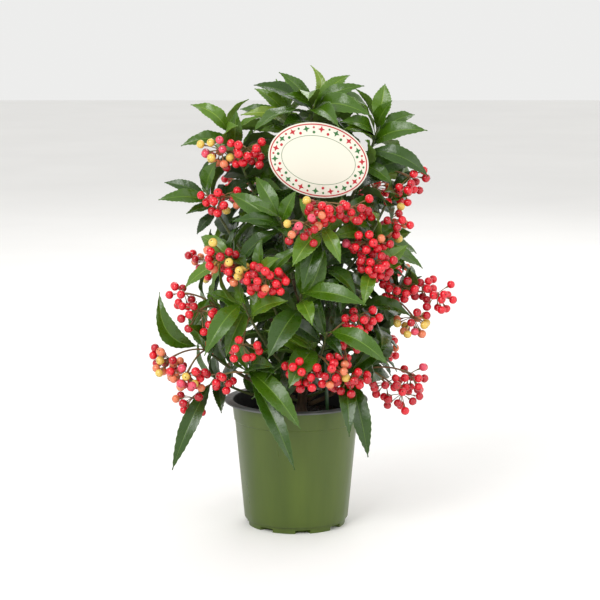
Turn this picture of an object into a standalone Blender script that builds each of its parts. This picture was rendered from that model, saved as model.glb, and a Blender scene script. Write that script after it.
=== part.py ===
"""Potted coral ardisia: a berried shrub in a nursery pot with a name card, as separate solids.

Sizes are in millimetres, and MM turns them into Blender's metres. +Z is up, -Y is the front,
+X is to the right seen from the front, and the origin is the centre of the pot's flat underside.
"""
import math
from dataclasses import dataclass
from random import Random

import bmesh
import bpy
from mathutils import Vector
from mathutils.bvhtree import BVHTree

MM = 0.001
GAP = 0.3            # space left between neighbouring solids
CLEAR = 0.45         # space a leaf or fruit keeps from everything else
UP = Vector((0, 0, 1))
GOLDEN_ANGLE = math.radians(137.5)

# Pot, turned about Z
POT_SIDES = 36
POT_HEIGHT = 115.0
RIM_RADIUS = 65.0
RIM_THICK = 1.8
NECK_RADIUS = 58.4
COLLAR_HEIGHT = 97.0
COLLAR_RADIUS = 56.4
WALL_TOP_RADIUS = 55.6
WALL_FOOT_RADIUS = 47.3
FOOT_HEIGHT = 6.2
FOOT_RADIUS = 45.0
BASE_RADIUS = 44.5
WALL = 1.5
FLOOR = 2.0
NOTCHES = 8
NOTCH_WIDTH = 13.0
NOTCH_HEIGHT = 3.4
NOTCH_DEPTH = 7.0
SOIL_TOP = 99.0

# Trunk
TRUNK_FOOT = Vector((4, 0, SOIL_TOP + GAP))
TRUNK_TIP = Vector((14, 0, 350))
TRUNK_BOW = Vector((4, -3, 0))
TRUNK_SIDES = 8
TRUNK_RADII = (7.0, 4.5, 4.0, 3.6, 3.2, 2.7, 2.2)
FLARE_HEIGHT = 9.0

# Boughs, stems and leaves
BOUGH_RADIUS = 2.1
STEM_RADIUS = 1.5
STEM_TIP_RADIUS = 1.0
BOUGH_SHARE = 0.5    # part of a shoot that is bough, before its foliage starts
LEAF_LENGTH = 62.0
LEAF_THICK = 0.8
ROOT_OFFSET = 0.5    # roots start this far off the centre of what carries them
VEE = 0.28           # rise of a leaf's margins over its midrib, for its half-width
FACING_FRONT = Vector((0, -0.8, 0.6))

# Fruit
BERRY_RADIUS = 4.2
PEDICEL_RADIUS = 0.55
PEDICEL_ROOT_RADIUS = 0.4
PEDUNCLE_RADIUS = 0.8
HUB_RADIUS = 1.3
UMBEL_RADIUS = 15.0
UMBEL_CAP = math.radians(105)
BERRY_SHARE = 0.2    # share of each umbel's berries that is solid here

# Name card on its pick
CARD_CENTRE = Vector((19.5, -48, 336))
CARD_HALF_WIDTH = 44.0
CARD_HALF_HEIGHT = 32.3
CARD_TILT = math.radians(-12.7)
CARD_THICK = 1.0
CARD_SIDES = 32
PICK_RADIUS = 1.5
PICK_DEPTH = 45.0
PICK_FOOT = (30, -34)
SIGHT_LENGTH = 110.0  # the card stays in view over this distance in front of it


@dataclass
class Shoot:
    """One shoot: where it leaves the trunk, where it ends, and what it is seen to carry.

    Each leaf is (tip, arch, width, sway): its arch is up and its sway to the side, for its length.
    Each umbel is (hub, berries). more is the number of further leaves that the rule adds.
    """
    name: str
    foot: float
    tip: tuple
    leaves: tuple = ()
    umbels: tuple = ()
    more: int = 3
    bough: bool = True


SHOOTS = (
    Shoot("leader", 350, (14, 0, 381), (
        ((13, 8, 415), 0.1, 0.26, 0.5),
        ((-15, -15, 410), 0.3, 0.3, 0),
        ((48, 12, 406), 0.4, 0.28, 0),
        ((60, -12, 398), 0.45, 0.28, 0),
        ((-10, -38, 392), 0.3, 0.28, 0),
        ((66, -35, 373), 0.6, 0.36, 0),
        ((37, -66, 366), 0.4, 0.28, 0)), bough=False, more=4),
    Shoot("leader_left", 272, (-7, 17, 366), (
        ((-37, 14, 394), 0.5, 0.34, 0),
        ((-18, 26, 402), 0.2, 0.34, 0),
        ((-49, -6, 372), 0.6, 0.28, 0),
        ((-33, 22, 355), 0.45, 0.3, 0)), more=2),
    Shoot("left_shoulder", 236, (-58, -5, 353), (
        ((-93, -5, 381), 0.7, 0.34, 0),
        ((-101, -22, 346), 0.4, 0.3, 0),
        ((-52, -26, 378), 0.3, 0.36, 0)), (
        ((-66, -28, 343), 12), ((-44, -36, 345), 14)), more=2),
    Shoot("right_shoulder", 248, (74, 0, 364), (
        ((79, 4, 399), 0.2, 0.5, 0),
        ((84, -25, 386), 0.25, 0.4, 0),
        ((106, 12, 371), 0.4, 0.36, 0),
        ((52, -4, 372), 0.2, 0.34, 0),
        ((115, -28, 360), 0.45, 0.34, 0)), more=2),
    Shoot("right_neck", 214, (60, -22, 341), (
        ((116, -30, 320), 0.5, 0.3, 0),
        ((84, -32, 314), 0.35, 0.44, 0),
        ((36, 0, 366), 0.2, 0.34, 0)), (
        ((100, -24, 319), 6),), more=3, bough=False),
    Shoot("left_arm", 196, (-80, -10, 305), (
        ((-69, -34, 334), 0.2, 0.4, 0),
        ((-117, -6, 312), 0.25, 0.3, 0),
        ((-121, -28, 299), 0.3, 0.3, 0),
        ((-96, -38, 288), 0.2, 0.26, 0),
        ((-88, -15, 267), 0.4, 0.4, 0)), (
        ((-66, -38, 303), 13),), more=2),
    Shoot("right_arm", 202, (90, -14, 318), (
        ((93, -4, 337), 0.1, 0.4, 0),
        ((107, -20, 324), 0.2, 0.36, 0),
        ((101, -22, 303), 0.3, 0.5, 0)), (
        ((94, -16, 309), 7),), more=1, bough=False),
    Shoot("front_left", 190, (-13, -72, 289), (
        ((-40, -84, 303), 0.2, 0.34, 0),
        ((0, -84, 313), 0.2, 0.4, 0),
        ((-54, -92, 288), 0.35, 0.28, 0),
        ((-5, -96, 273), 0.4, 0.4, 0),
        ((-32, -58, 312), 0.4, 0.28, 0)), (
        ((7, -92, 286), 9),), more=1),
    Shoot("front_high", 180, (22, -70, 281), (
        ((38, -92, 252), 0.35, 0.34, 0),
        ((-3, -97, 250), 0.35, 0.44, 0),
        ((6, -88, 228), 0.35, 0.34, 0)), (
        ((26, -82, 303), 24), ((49, -72, 298), 9)), more=1),
    Shoot("right_high", 176, (66, -45, 268), (
        ((27, -82, 271), 0.35, 0.3, 0),
        ((84, -58, 251), 0.45, 0.3, 0),
        ((92, -44, 278), 0.6, 0.34, 0)), (
        ((82, -42, 283), 9), ((62, -66, 267), 14)), more=2),
    Shoot("left_mid", 164, (-56, -45, 250), (
        ((-98, -36, 222), 0.3, 0.24, 0),
        ((-42, -82, 246), 0.35, 0.34, 0)), (
        ((-64, -62, 256), 16), ((-50, -66, 246), 14)), more=3),
    Shoot("front_left_mid", 158, (-29, -72, 238), (
        ((-14, -96, 257), 0.3, 0.4, 0),), (
        ((-25, -88, 240), 24),), more=2, bough=False),
    Shoot("right_mid", 150, (66, -55, 240), (
        ((58, -84, 214), 0.4, 0.34, 0),), (
        ((68, -68, 250), 18),), more=3),
    Shoot("far_right", 140, (92, -10, 214), (
        ((112, -14, 229), 0.3, 0.26, 0),), (
        ((92, -26, 222), 9), ((112, -14, 222), 10), ((125, -22, 214), 8),
        ((104, -26, 194), 12)), more=4),
    Shoot("front_centre", 146, (4, -75, 223), (
        ((60, -100, 217), 0.35, 0.3, 0),
        ((14, -102, 200), 0.35, 0.42, 0),
        ((-24, -108, 172), 0.35, 0.38, 0)), more=3, bough=False),
    Shoot("front_right_low", 128, (27, -78, 190), (
        ((79, -104, 166), 0.5, 0.3, 0),
        ((40, -100, 172), 0.4, 0.34, 0)), (
        ((54, -76, 204), 10), ((42, -84, 178), 6)), more=2, bough=False),
    Shoot("front_low", 122, (16, -62, 172), (
        ((-6, -104, 146), 0.35, 0.44, 0),), (
        ((6, -88, 160), 16), ((30, -90, 160), 16), ((46, -78, 150), 12)), more=2, bough=False),
    Shoot("front_left_low", 136, (-46, -70, 214), (
        ((-78, -104, 174), 0.45, 0.3, 0),
        ((-60, -96, 172), 0.3, 0.34, 0)), (
        ((-46, -92, 182), 6),), more=3, bough=False),
    Shoot("left_low_mid", 132, (-76, -25, 212), (
        ((-92, -46, 186), 0.3, 0.3, 0),), (
        ((-99, -30, 216), 6), ((-84, -48, 204), 7)), more=3, bough=False),
    Shoot("far_left", 116, (-84, -18, 166), (
        ((-121, -28, 217), 0.2, 0.3, -0.6),
        ((-94, -56, 192), 0.3, 0.3, 0)), (
        ((-112, -34, 158), 16), ((-96, -52, 148), 15)), more=2),
    Shoot("low_left", 109, (-74, -14, 136), (
        ((-110, -48, 60), 0.3, 0.18, 0),
        ((-66, -50, 112), 0.3, 0.3, 0)), (
        ((-92, -32, 122), 5),), more=2, bough=False),
    Shoot("over_rim", 114, (-44, -54, 152), (
        ((4, -96, 108), 0.4, 0.27, 0),
        ((-1, -104, 74), 0.3, 0.17, 0)), (
        ((-66, -50, 146), 5),), more=2, bough=False),
    Shoot("low_right", 118, (46, -48, 148), (
        ((63, -74, 78), 0.4, 0.23, 0),
        ((46, -94, 101), 0.4, 0.24, 0),
        ((60, -68, 170), 0.2, 0.34, 0)), more=1, bough=False),
    Shoot("far_right_low", 110, (64, -22, 148), (), (
        ((102, -22, 142), 10), ((80, -36, 136), 8), ((94, -34, 126), 6)), more=4),
    Shoot("back_high", 262, (16, 54, 356), more=6),
    Shoot("back_left_high", 232, (-42, 54, 322), umbels=(((-50, 76, 304), 12),), more=6),
    Shoot("back_right_high", 226, (62, 48, 316), umbels=(((72, 66, 300), 12),), more=6),
    Shoot("back_mid", 186, (6, 78, 276), umbels=(((2, 98, 262), 14), ((28, 92, 286), 10)), more=6),
    Shoot("back_left_mid", 170, (-66, 54, 240), umbels=(((-82, 62, 230), 14),), more=6),
    Shoot("back_right_mid", 162, (72, 50, 244), umbels=(((84, 60, 226), 14),), more=6),
    Shoot("back_low", 126, (8, 80, 196), umbels=(((-14, 98, 184), 14), ((26, 96, 180), 12)), more=6),
    Shoot("back_left_low", 120, (-62, 60, 166), umbels=(((-72, 80, 156), 12),), more=6),
    Shoot("back_right_low", 112, (66, 58, 162), umbels=(((80, 74, 150), 14),), more=6),
)

# Half-width of the whole crown over its height: leaves that the rule adds stay inside it
CROWN = ((112, 66), (140, 96), (220, 104), (300, 100), (350, 94), (385, 72), (414, 34))


def mix(a, b, t):
    return a + (b - a) * t


def bezier(p0, p1, p2, t):
    return p0 * (1 - t) ** 2 + p1 * 2 * t * (1 - t) + p2 * t ** 2


def bezier_tangent(p0, p1, p2, t):
    return ((p1 - p0) * (1 - t) + (p2 - p1) * t).normalized()


def trunk_at(height):
    """Centre of the trunk at a height: it leans and bows a little."""
    t = (height - TRUNK_FOOT.z) / (TRUNK_TIP.z - TRUNK_FOOT.z)
    return mix(TRUNK_FOOT, TRUNK_TIP, t) + TRUNK_BOW * math.sin(math.pi * t)


def trunk_stations():
    """Heights and radii of the trunk, from the flared foot to the tip."""
    above = SOIL_TOP + GAP + FLARE_HEIGHT
    step = (TRUNK_TIP.z - above) / (len(TRUNK_RADII) - 2)
    heights = [TRUNK_FOOT.z] + [above + step * i for i in range(len(TRUNK_RADII) - 1)]
    return list(zip(heights, TRUNK_RADII))


def trunk_radius(height):
    stations = trunk_stations()
    for (low, wide), (high, thin) in zip(stations, stations[1:]):
        if height <= high:
            return mix(wide, thin, (height - low) / (high - low))
    return TRUNK_RADII[-1]


def crown_reach(height):
    for (low, near), (high, far) in zip(CROWN, CROWN[1:]):
        if low <= height <= high:
            return mix(near, far, (height - low) / (high - low))
    return 0.0


def side_of(direction):
    """A level unit vector across a direction."""
    across = direction.cross(UP)
    return across.normalized() if across.length > 0.05 else Vector((1, 0, 0))


def tube(points, radii, sides, level=False):
    """A closed tube through the points, as (vertices, faces), its sections level if asked."""
    verts, faces = [], []
    across = None
    for i, (point, radius) in enumerate(zip(points, radii)):
        along = UP if level else points[min(i + 1, len(points) - 1)] - points[max(i - 1, 0)]
        along = along.normalized()
        across = side_of(along) if across is None else (across - along * across.dot(along)).normalized()
        other = along.cross(across)
        for k in range(sides):
            angle = 2 * math.pi * k / sides
            verts.append(point + (across * math.cos(angle) + other * math.sin(angle)) * radius)
    for i in range(len(points) - 1):
        for k in range(sides):
            a, b = i * sides + k, i * sides + (k + 1) % sides
            faces.append((a, b, b + sides, a + sides))
    last = (len(points) - 1) * sides
    faces.append(tuple(range(sides - 1, -1, -1)))
    faces.append(tuple(range(last, last + sides)))
    return verts, faces


def leaf_curve(base, tip, arch, sway, facing):
    """Control points of a leaf's midrib, and the vector across its blade."""
    chord = tip - base
    along = chord.normalized()
    side = along.cross(facing).normalized()
    top = side.cross(along)
    middle = (base + tip) / 2 + (top * arch + side * sway) * chord.length
    return (base, middle, tip), side


def leaf_profile(s):
    """Half-width of the blade along the leaf, 1 at its widest, pointed at both ends."""
    x = (s - 0.08) / 0.92
    return (x / 0.45) ** 0.9 * ((1 - x) / 0.55) ** 1.1 if 0 < x < 1 else 0.0


def leaf_solid(base, tip, arch, width, sway, facing, first=0.0, grow=0.0):
    """A leaf as a thin folded blade: an upright edge at its root, two diamonds and its point."""
    curve, side = leaf_curve(base, tip, arch, sway, facing)
    half = width * (tip - base).length / 2
    thick = LEAF_THICK / 2 + grow
    verts = []
    for s in (first, 0.4, 0.72):
        point = bezier(*curve, s)
        top = side.cross(bezier_tangent(*curve, s)).normalized()
        verts += [point + top * thick, point - top * thick]
        if s > first:
            reach = side * (half * leaf_profile(s) + grow)
            rise = top * VEE * half * leaf_profile(s)
            verts += [point + reach + rise, point - reach + rise]
    verts.append(tip + bezier_tangent(*curve, 1.0) * grow)
    faces = [(0, 1, 4), (1, 0, 5), (0, 4, 2), (0, 2, 5), (1, 3, 4), (1, 5, 3)]
    for a, b in ((2, 4), (4, 3), (3, 5), (5, 2)):
        faces += [(a, b, b + 4, a + 4), (a + 4, b + 4, 10)]
    return verts, faces


def berry_shape():
    """Corners and faces of a unit icosahedron."""
    ratio = (1 + 5 ** 0.5) / 2
    corners = []
    for one in (1, -1):
        for two in (ratio, -ratio):
            corners += [Vector((0, one, two)), Vector((one, two, 0)), Vector((two, 0, one))]
    faces = []
    for i in range(12):
        for j in range(i + 1, 12):
            for k in range(j + 1, 12):
                a, b, c = corners[i], corners[j], corners[k]
                if max((a - b).length, (b - c).length, (c - a).length) < 2.01:
                    outward = (b - a).cross(c - a).dot(a + b + c) > 0
                    faces.append((i, j, k) if outward else (i, k, j))
    return [corner.normalized() for corner in corners], faces


BERRY_CORNERS, BERRY_FACES = berry_shape()


def berry_solid(hub, centre, grow=0.0, pedicel=True):
    """A berry with its pedicel: one face of the berry is drawn out to the hub."""
    towards = (hub - centre).normalized()
    open_face = BERRY_FACES[0]
    normal = sum((BERRY_CORNERS[i] for i in open_face), Vector()).normalized()
    turn = normal.rotation_difference(towards)
    around = [turn @ corner for corner in BERRY_CORNERS]
    verts = [centre + corner * (BERRY_RADIUS + grow) for corner in around]
    if not pedicel:
        return verts, list(BERRY_FACES)
    faces = list(BERRY_FACES[1:])
    ring = open_face
    level = [(around[i] - towards * around[i].dot(towards)).normalized() for i in open_face]
    for start, radius in ((centre + towards * BERRY_RADIUS * 0.95, PEDICEL_RADIUS),
                          (hub - towards * ROOT_OFFSET, PEDICEL_ROOT_RADIUS)):
        following = tuple(range(len(verts), len(verts) + 3))
        verts += [start + way * (radius + grow) for way in level]
        faces += [(ring[k], ring[(k + 1) % 3], following[(k + 1) % 3], following[k]) for k in range(3)]
        ring = following
    faces.append(ring)
    return verts, faces


class Space:
    """Everything that is placed already, so that nothing grows through anything else."""

    def __init__(self):
        self.solids = []

    def add(self, owner, shape):
        verts, faces = shape
        centre = sum(verts, Vector()) / len(verts)
        reach = max((v - centre).length for v in verts)
        self.solids.append((owner, centre, reach, BVHTree.FromPolygons(verts, faces)))

    def meets(self, owner, shape, own):
        """The owner of the first solid that a shape meets, among its own or among the others'."""
        verts, faces = shape
        centre = sum(verts, Vector()) / len(verts)
        reach = max((v - centre).length for v in verts)
        tree = None
        for other, middle, size, placed in self.solids:
            if (other == owner) == own and (middle - centre).length < reach + size:
                tree = tree or BVHTree.FromPolygons(verts, faces)
                if tree.overlap(placed):
                    return other
        return None


space = Space()
growth = {}          # each mass's solids, the stem first
limbs = {}           # trunk and boughs


def shoot_curve(shoot):
    """Control points of a shoot: out from the trunk, then up to its tip."""
    foot, tip = trunk_at(shoot.foot), Vector(shoot.tip)
    out = Vector((tip.x - foot.x, tip.y - foot.y, 0))
    if out.length < 10:
        return foot, (foot + tip) / 2, tip
    start = foot + out.normalized() * (trunk_radius(shoot.foot) + 2 * GAP + BOUGH_RADIUS)
    middle = foot + out * 0.62 + UP * (tip.z - foot.z) * 0.34
    return start, middle, tip


def grow_limb(shoot):
    """The bough, if it has one, and the stem that goes on from it to the shoot's tip."""
    curve = shoot_curve(shoot)
    start = 0.0
    if shoot.bough:
        stop = BOUGH_SHARE
        points = [bezier(*curve, stop * i / 3) for i in range(4)]
        radii = [mix(BOUGH_RADIUS, STEM_RADIUS, i / 3) for i in range(4)]
        limbs["bough_" + shoot.name] = tube(points, radii, 5)
        start = stop + GAP * 1.2 / (curve[2] - curve[0]).length
    elif shoot.name == "leader":
        start = (GAP + 0.1) / (curve[2] - curve[0]).length
    points = [bezier(*curve, mix(start, 1, i / 3)) for i in range(4)]
    points.append(points[-1] + bezier_tangent(*curve, 1.0) * 2)
    radii = [mix(STEM_RADIUS, STEM_TIP_RADIUS, i / 4) for i in range(5)]
    growth[shoot.name] = [tube(points, radii, 4)]
    return lambda t: bezier(*curve, mix(start, 1, t)), lambda t: bezier_tangent(*curve, mix(start, 1, t))


def umbel_axis(root, hub):
    """An umbel hangs outward and down from the end of its peduncle."""
    out = Vector((hub.x - root.x, hub.y - root.y, 0))
    out = out.normalized() if out.length > 1 else Vector((hub.x, hub.y, 0)).normalized()
    return (out * 0.45 - UP).normalized()


def grow_peduncle(shoot, stem, hub):
    """From the nearest point of the stem, up a little and down to the umbel's hub."""
    root = min((stem(0.06 + 0.04 * i) for i in range(22)), key=lambda point: (point - hub).length)
    middle = (root + hub) / 2 + UP * 0.2 * (hub - root).length
    points = [bezier(root, middle, hub, i / 3) for i in range(4)]
    points.append(hub + (points[3] - points[2]).normalized() * 1.2)
    radii = [PEDUNCLE_RADIUS] * 3 + [HUB_RADIUS, PEDUNCLE_RADIUS]
    solid = tube(points, radii, 3)
    clash = space.meets(shoot.name, solid, own=False)
    if clash:
        print("peduncle of", shoot.name, "meets", clash)
    growth[shoot.name].append(solid)
    space.add(shoot.name, solid)
    return root


def umbel_order(count):
    """Berries spread evenly over the umbel whatever share of them is placed."""
    step = next(n for n in (5, 7, 3, 11, 2, 1) if count % n or n == 1)
    return [i * step % count for i in range(count)]


def grow_umbel(shoot, index, root, hub, count):
    """Berries on pedicels, spread over a cap about the umbel's axis by the golden angle."""
    rng = Random(f"{shoot.name} umbel {index}")
    axis = umbel_axis(root, hub)
    across = side_of(axis)
    other = axis.cross(across)
    placed = 0
    for k in umbel_order(count):
        lean = math.acos(mix(1, math.cos(UMBEL_CAP), (k + 0.5) / count))
        turn = k * GOLDEN_ANGLE + rng.uniform(-0.25, 0.25)
        reach = UMBEL_RADIUS * rng.uniform(0.82, 1.1)
        way = axis * math.cos(lean) + (across * math.cos(turn) + other * math.sin(turn)) * math.sin(lean)
        centre = hub + way * reach
        if placed >= BERRY_SHARE * count:
            break
        if (space.meets(shoot.name, berry_solid(hub, centre, CLEAR), own=False)
                or space.meets(shoot.name, berry_solid(hub, centre, CLEAR / 2, pedicel=False), own=True)):
            continue
        solid = berry_solid(hub, centre)
        growth[shoot.name].append(solid)
        space.add(shoot.name, solid)
        placed += 1
    return placed


def rooted(point, along, tip):
    """Where a leaf is rooted in a stem: just off its centre, on the leaf's side."""
    away = tip - point
    away -= along * away.dot(along)
    return point + away.normalized() * ROOT_OFFSET


def leaf_fits(name, leaf):
    """The owner of what a leaf would meet, or None: near its root only the others' solids count."""
    return (space.meets(name, leaf_solid(*leaf, grow=CLEAR), own=False)
            or space.meets(name, leaf_solid(*leaf, first=0.36, grow=CLEAR / 2), own=True))


def add_leaf(name, leaf):
    solid = leaf_solid(*leaf)
    growth[name].append(solid)
    space.add(name, solid)


def grow_key_leaves(shoot, stem, heading):
    """The leaves that stand out, from the shoot's tip downward."""
    for index, (tip, arch, width, sway) in enumerate(shoot.leaves):
        t = 1 - 0.07 * index
        base = rooted(stem(t), heading(t), Vector(tip))
        leaf = (base, Vector(tip), arch, width, sway, FACING_FRONT)
        clash = leaf_fits(shoot.name, leaf)
        if clash:
            print("leaf", index, "of", shoot.name, "meets", clash)
        else:
            add_leaf(shoot.name, leaf)


def grow_rule_leaves(shoot, stem, heading, wanted):
    """Further leaves in a golden spiral down the shoot, older ones longer and lower."""
    rng = Random(f"{shoot.name} leaves")
    placed = 0
    for index in range(wanted * 6):
        if placed == wanted:
            break
        age = placed / max(wanted, 1)
        t = 1 - 0.04 - 0.3 * age
        along = heading(t)
        across = side_of(along)
        turn = index * GOLDEN_ANGLE + rng.uniform(-0.2, 0.2)
        way = across * math.cos(turn) + along.cross(across) * math.sin(turn)
        lean = math.radians(mix(40, 95, age) + rng.uniform(-10, 10))
        length = LEAF_LENGTH * mix(0.8, 1.05, age) * rng.uniform(0.85, 1.1)
        base = stem(t)
        tip = base + (along * math.cos(lean) + way * math.sin(lean)) * length
        tip.z -= length * rng.uniform(0.05, 0.3)
        width = rng.uniform(0.3, 0.37)
        arch = rng.uniform(0.25, 0.45)
        centre = trunk_at(min(max(tip.z, TRUNK_FOOT.z), TRUNK_TIP.z))
        if math.hypot(tip.x - centre.x, tip.y - centre.y) > crown_reach(tip.z):
            continue
        outward = Vector((tip.x - centre.x, tip.y - centre.y, 0)).normalized()
        facing = UP * 0.6 + outward * 0.7 + side_of(outward) * rng.uniform(-0.7, 0.7)
        leaf = (rooted(base, along, tip), tip, arch, width, 0, facing)
        if not leaf_fits(shoot.name, leaf):
            add_leaf(shoot.name, leaf)
            placed += 1
    return placed


def turned(profile, sides):
    """A closed solid of revolution from (radius, height) points, bottom centre to top centre."""
    verts, faces, rings = [], [], []
    for radius, height in profile:
        if radius == 0:
            rings.append([len(verts)])
            verts.append(Vector((0, 0, height)))
            continue
        rings.append(list(range(len(verts), len(verts) + sides)))
        for k in range(sides):
            angle = 2 * math.pi * (k + 0.5) / sides
            verts.append(Vector((radius * math.cos(angle), radius * math.sin(angle), height)))
    for low, high in zip(rings, rings[1:]):
        for k in range(sides):
            a, b = low[k % len(low)], low[(k + 1) % len(low)]
            c, d = high[(k + 1) % len(high)], high[k % len(high)]
            faces.append(tuple(dict.fromkeys((a, b, c, d))))
    return verts, faces


def material(name, colour, roughness):
    made = bpy.data.materials.new(name)
    made.use_nodes = True
    shader = made.node_tree.nodes["Principled BSDF"]
    shader.inputs["Base Color"].default_value = (*colour, 1)
    shader.inputs["Roughness"].default_value = roughness
    shader.inputs["Metallic"].default_value = 0.0
    return made


def make_object(name, shape, finish, collection=None):
    verts, faces = shape
    mesh = bpy.data.meshes.new(name)
    mesh.from_pydata([v * MM for v in verts], [], faces)
    shell = bmesh.new()
    shell.from_mesh(mesh)
    bmesh.ops.recalc_face_normals(shell, faces=shell.faces)
    shell.to_mesh(mesh)
    shell.free()
    mesh.materials.append(finish)
    made = bpy.data.objects.new(name, mesh)
    (collection or bpy.context.scene.collection).objects.link(made)
    return made


def apply_boolean(body, operation, collection=None, other=None, solver="EXACT"):
    """Apply one Boolean with a collection or an object to a body's mesh."""
    cut = body.modifiers.new(operation.title(), "BOOLEAN")
    cut.operation = operation
    cut.solver = solver
    if collection:
        cut.operand_type = "COLLECTION"
        cut.collection = collection
    else:
        cut.object = other
    evaluated = body.evaluated_get(bpy.context.evaluated_depsgraph_get())
    result = bpy.data.meshes.new_from_object(evaluated)
    body.modifiers.clear()
    body.data = result


def shells(mesh):
    """The mesh's connected bodies, as lists of vertex indices, largest first."""
    parent = list(range(len(mesh.vertices)))

    def root(i):
        while parent[i] != i:
            parent[i] = parent[parent[i]]
            i = parent[i]
        return i

    for edge in mesh.edges:
        a, b = (root(i) for i in edge.vertices)
        parent[a] = b
    groups = {}
    for i in range(len(parent)):
        groups.setdefault(root(i), []).append(i)
    return sorted(groups.values(), key=len, reverse=True)


def drop_scraps(mesh):
    """Keep the largest body: the rest are sealed hollows or loose scraps."""
    loose = [i for group in shells(mesh)[1:] for i in group]
    if loose:
        body = bmesh.new()
        body.from_mesh(mesh)
        body.verts.ensure_lookup_table()
        bmesh.ops.delete(body, geom=[body.verts[i] for i in loose], context="VERTS")
        body.to_mesh(mesh)
        body.free()


def fuse(name, solids, finish):
    """Join a mass's solids into one body with one Boolean union on their collection."""
    body = make_object(name, solids[0], finish)
    group = bpy.data.collections.new(name + "_solids")
    bpy.context.scene.collection.children.link(group)
    for index, solid in enumerate(solids[1:]):
        make_object(f"{name}_{index}", solid, finish, group)
    apply_boolean(body, "UNION", collection=group)
    for extra in list(group.objects):
        bpy.data.objects.remove(extra)
    bpy.data.collections.remove(group)
    drop_scraps(body.data)
    return body


def pot_profile():
    """The pot's section: up the outside, over the rim and down the inside."""
    return [(0, 0), (BASE_RADIUS, 0), (FOOT_RADIUS, FOOT_HEIGHT), (WALL_FOOT_RADIUS, FOOT_HEIGHT + 0.6),
            (WALL_TOP_RADIUS, COLLAR_HEIGHT - 0.8), (COLLAR_RADIUS, COLLAR_HEIGHT),
            (NECK_RADIUS, POT_HEIGHT - RIM_THICK), (RIM_RADIUS, POT_HEIGHT - RIM_THICK),
            (RIM_RADIUS, POT_HEIGHT), (NECK_RADIUS - WALL, POT_HEIGHT),
            (WALL_TOP_RADIUS - WALL, COLLAR_HEIGHT - 1), (WALL_FOOT_RADIUS - WALL, FOOT_HEIGHT + 1.2),
            (BASE_RADIUS - WALL, FLOOR), (0, FLOOR)]


def soil_profile():
    """Peat that fills the pot, a gap clear of its inside."""
    foot = FLOOR + GAP
    return [(0, foot), (BASE_RADIUS - WALL - GAP, foot), (WALL_FOOT_RADIUS - WALL - 0.6, FOOT_HEIGHT + 2),
            (WALL_TOP_RADIUS - WALL - 0.6, SOIL_TOP), (0, SOIL_TOP)]


def notch_solids():
    """Boxes across the pot's lower edge, one for each drainage notch."""
    for k in range(NOTCHES):
        angle = 2 * math.pi * (k + 0.5) / NOTCHES - math.pi / 2 + math.radians(30)
        out = Vector((math.cos(angle), math.sin(angle), 0))
        across = Vector((-out.y, out.x, 0)) * NOTCH_WIDTH / 2
        near, far = out * (FOOT_RADIUS - NOTCH_DEPTH), out * (FOOT_RADIUS + 6)
        floor = [near - across, far - across, far + across, near + across]
        verts = [p - UP for p in floor] + [p + UP * NOTCH_HEIGHT for p in floor]
        sides = [(i, (i + 1) % 4, 4 + (i + 1) % 4, 4 + i) for i in range(4)]
        yield verts, [(3, 2, 1, 0), (4, 5, 6, 7)] + sides


def card_shape(grow=0.0, depth=CARD_THICK):
    """The oval card, upright and facing the front, its right side lower."""
    wide = Vector((math.cos(CARD_TILT), 0, math.sin(CARD_TILT))) * (CARD_HALF_WIDTH + grow)
    tall = Vector((-math.sin(CARD_TILT), 0, math.cos(CARD_TILT))) * (CARD_HALF_HEIGHT + grow)
    verts = []
    for y in (0, -depth):
        for k in range(CARD_SIDES):
            angle = 2 * math.pi * k / CARD_SIDES
            verts.append(CARD_CENTRE + wide * math.cos(angle) + tall * math.sin(angle) + Vector((0, y, 0)))
    n = CARD_SIDES
    faces = [(k, (k + 1) % n, n + (k + 1) % n, n + k) for k in range(n)]
    return verts, faces + [tuple(range(n - 1, -1, -1)), tuple(range(n, 2 * n))]


def pick_shape(grow=0.0):
    """The pick behind the card, down into the soil."""
    top = CARD_CENTRE + Vector((0, GAP + PICK_RADIUS, 12))
    foot = Vector((*PICK_FOOT, SOIL_TOP - PICK_DEPTH))
    knee = Vector((top.x, top.y, CARD_CENTRE.z - CARD_HALF_HEIGHT))
    points = [top, knee, mix(knee, foot, 0.5), foot + UP * 12, foot]
    radii = [PICK_RADIUS, PICK_RADIUS, PICK_RADIUS, PICK_RADIUS, 0.5]
    return tube(points, [radius + grow for radius in radii], 6)


def clear_scene():
    for item in list(bpy.data.objects):
        bpy.data.objects.remove(item)
    for group in (bpy.data.meshes, bpy.data.materials):
        for item in list(group):
            group.remove(item)


def build_pot():
    plastic = material("pot_plastic", (0.075, 0.12, 0.012), 0.35)
    pot = make_object("pot", turned(pot_profile(), POT_SIDES), plastic)
    pot_notches = fuse("notches", list(notch_solids()), plastic)
    apply_boolean(pot, "DIFFERENCE", other=pot_notches)
    bpy.data.objects.remove(pot_notches)
    return pot


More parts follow.
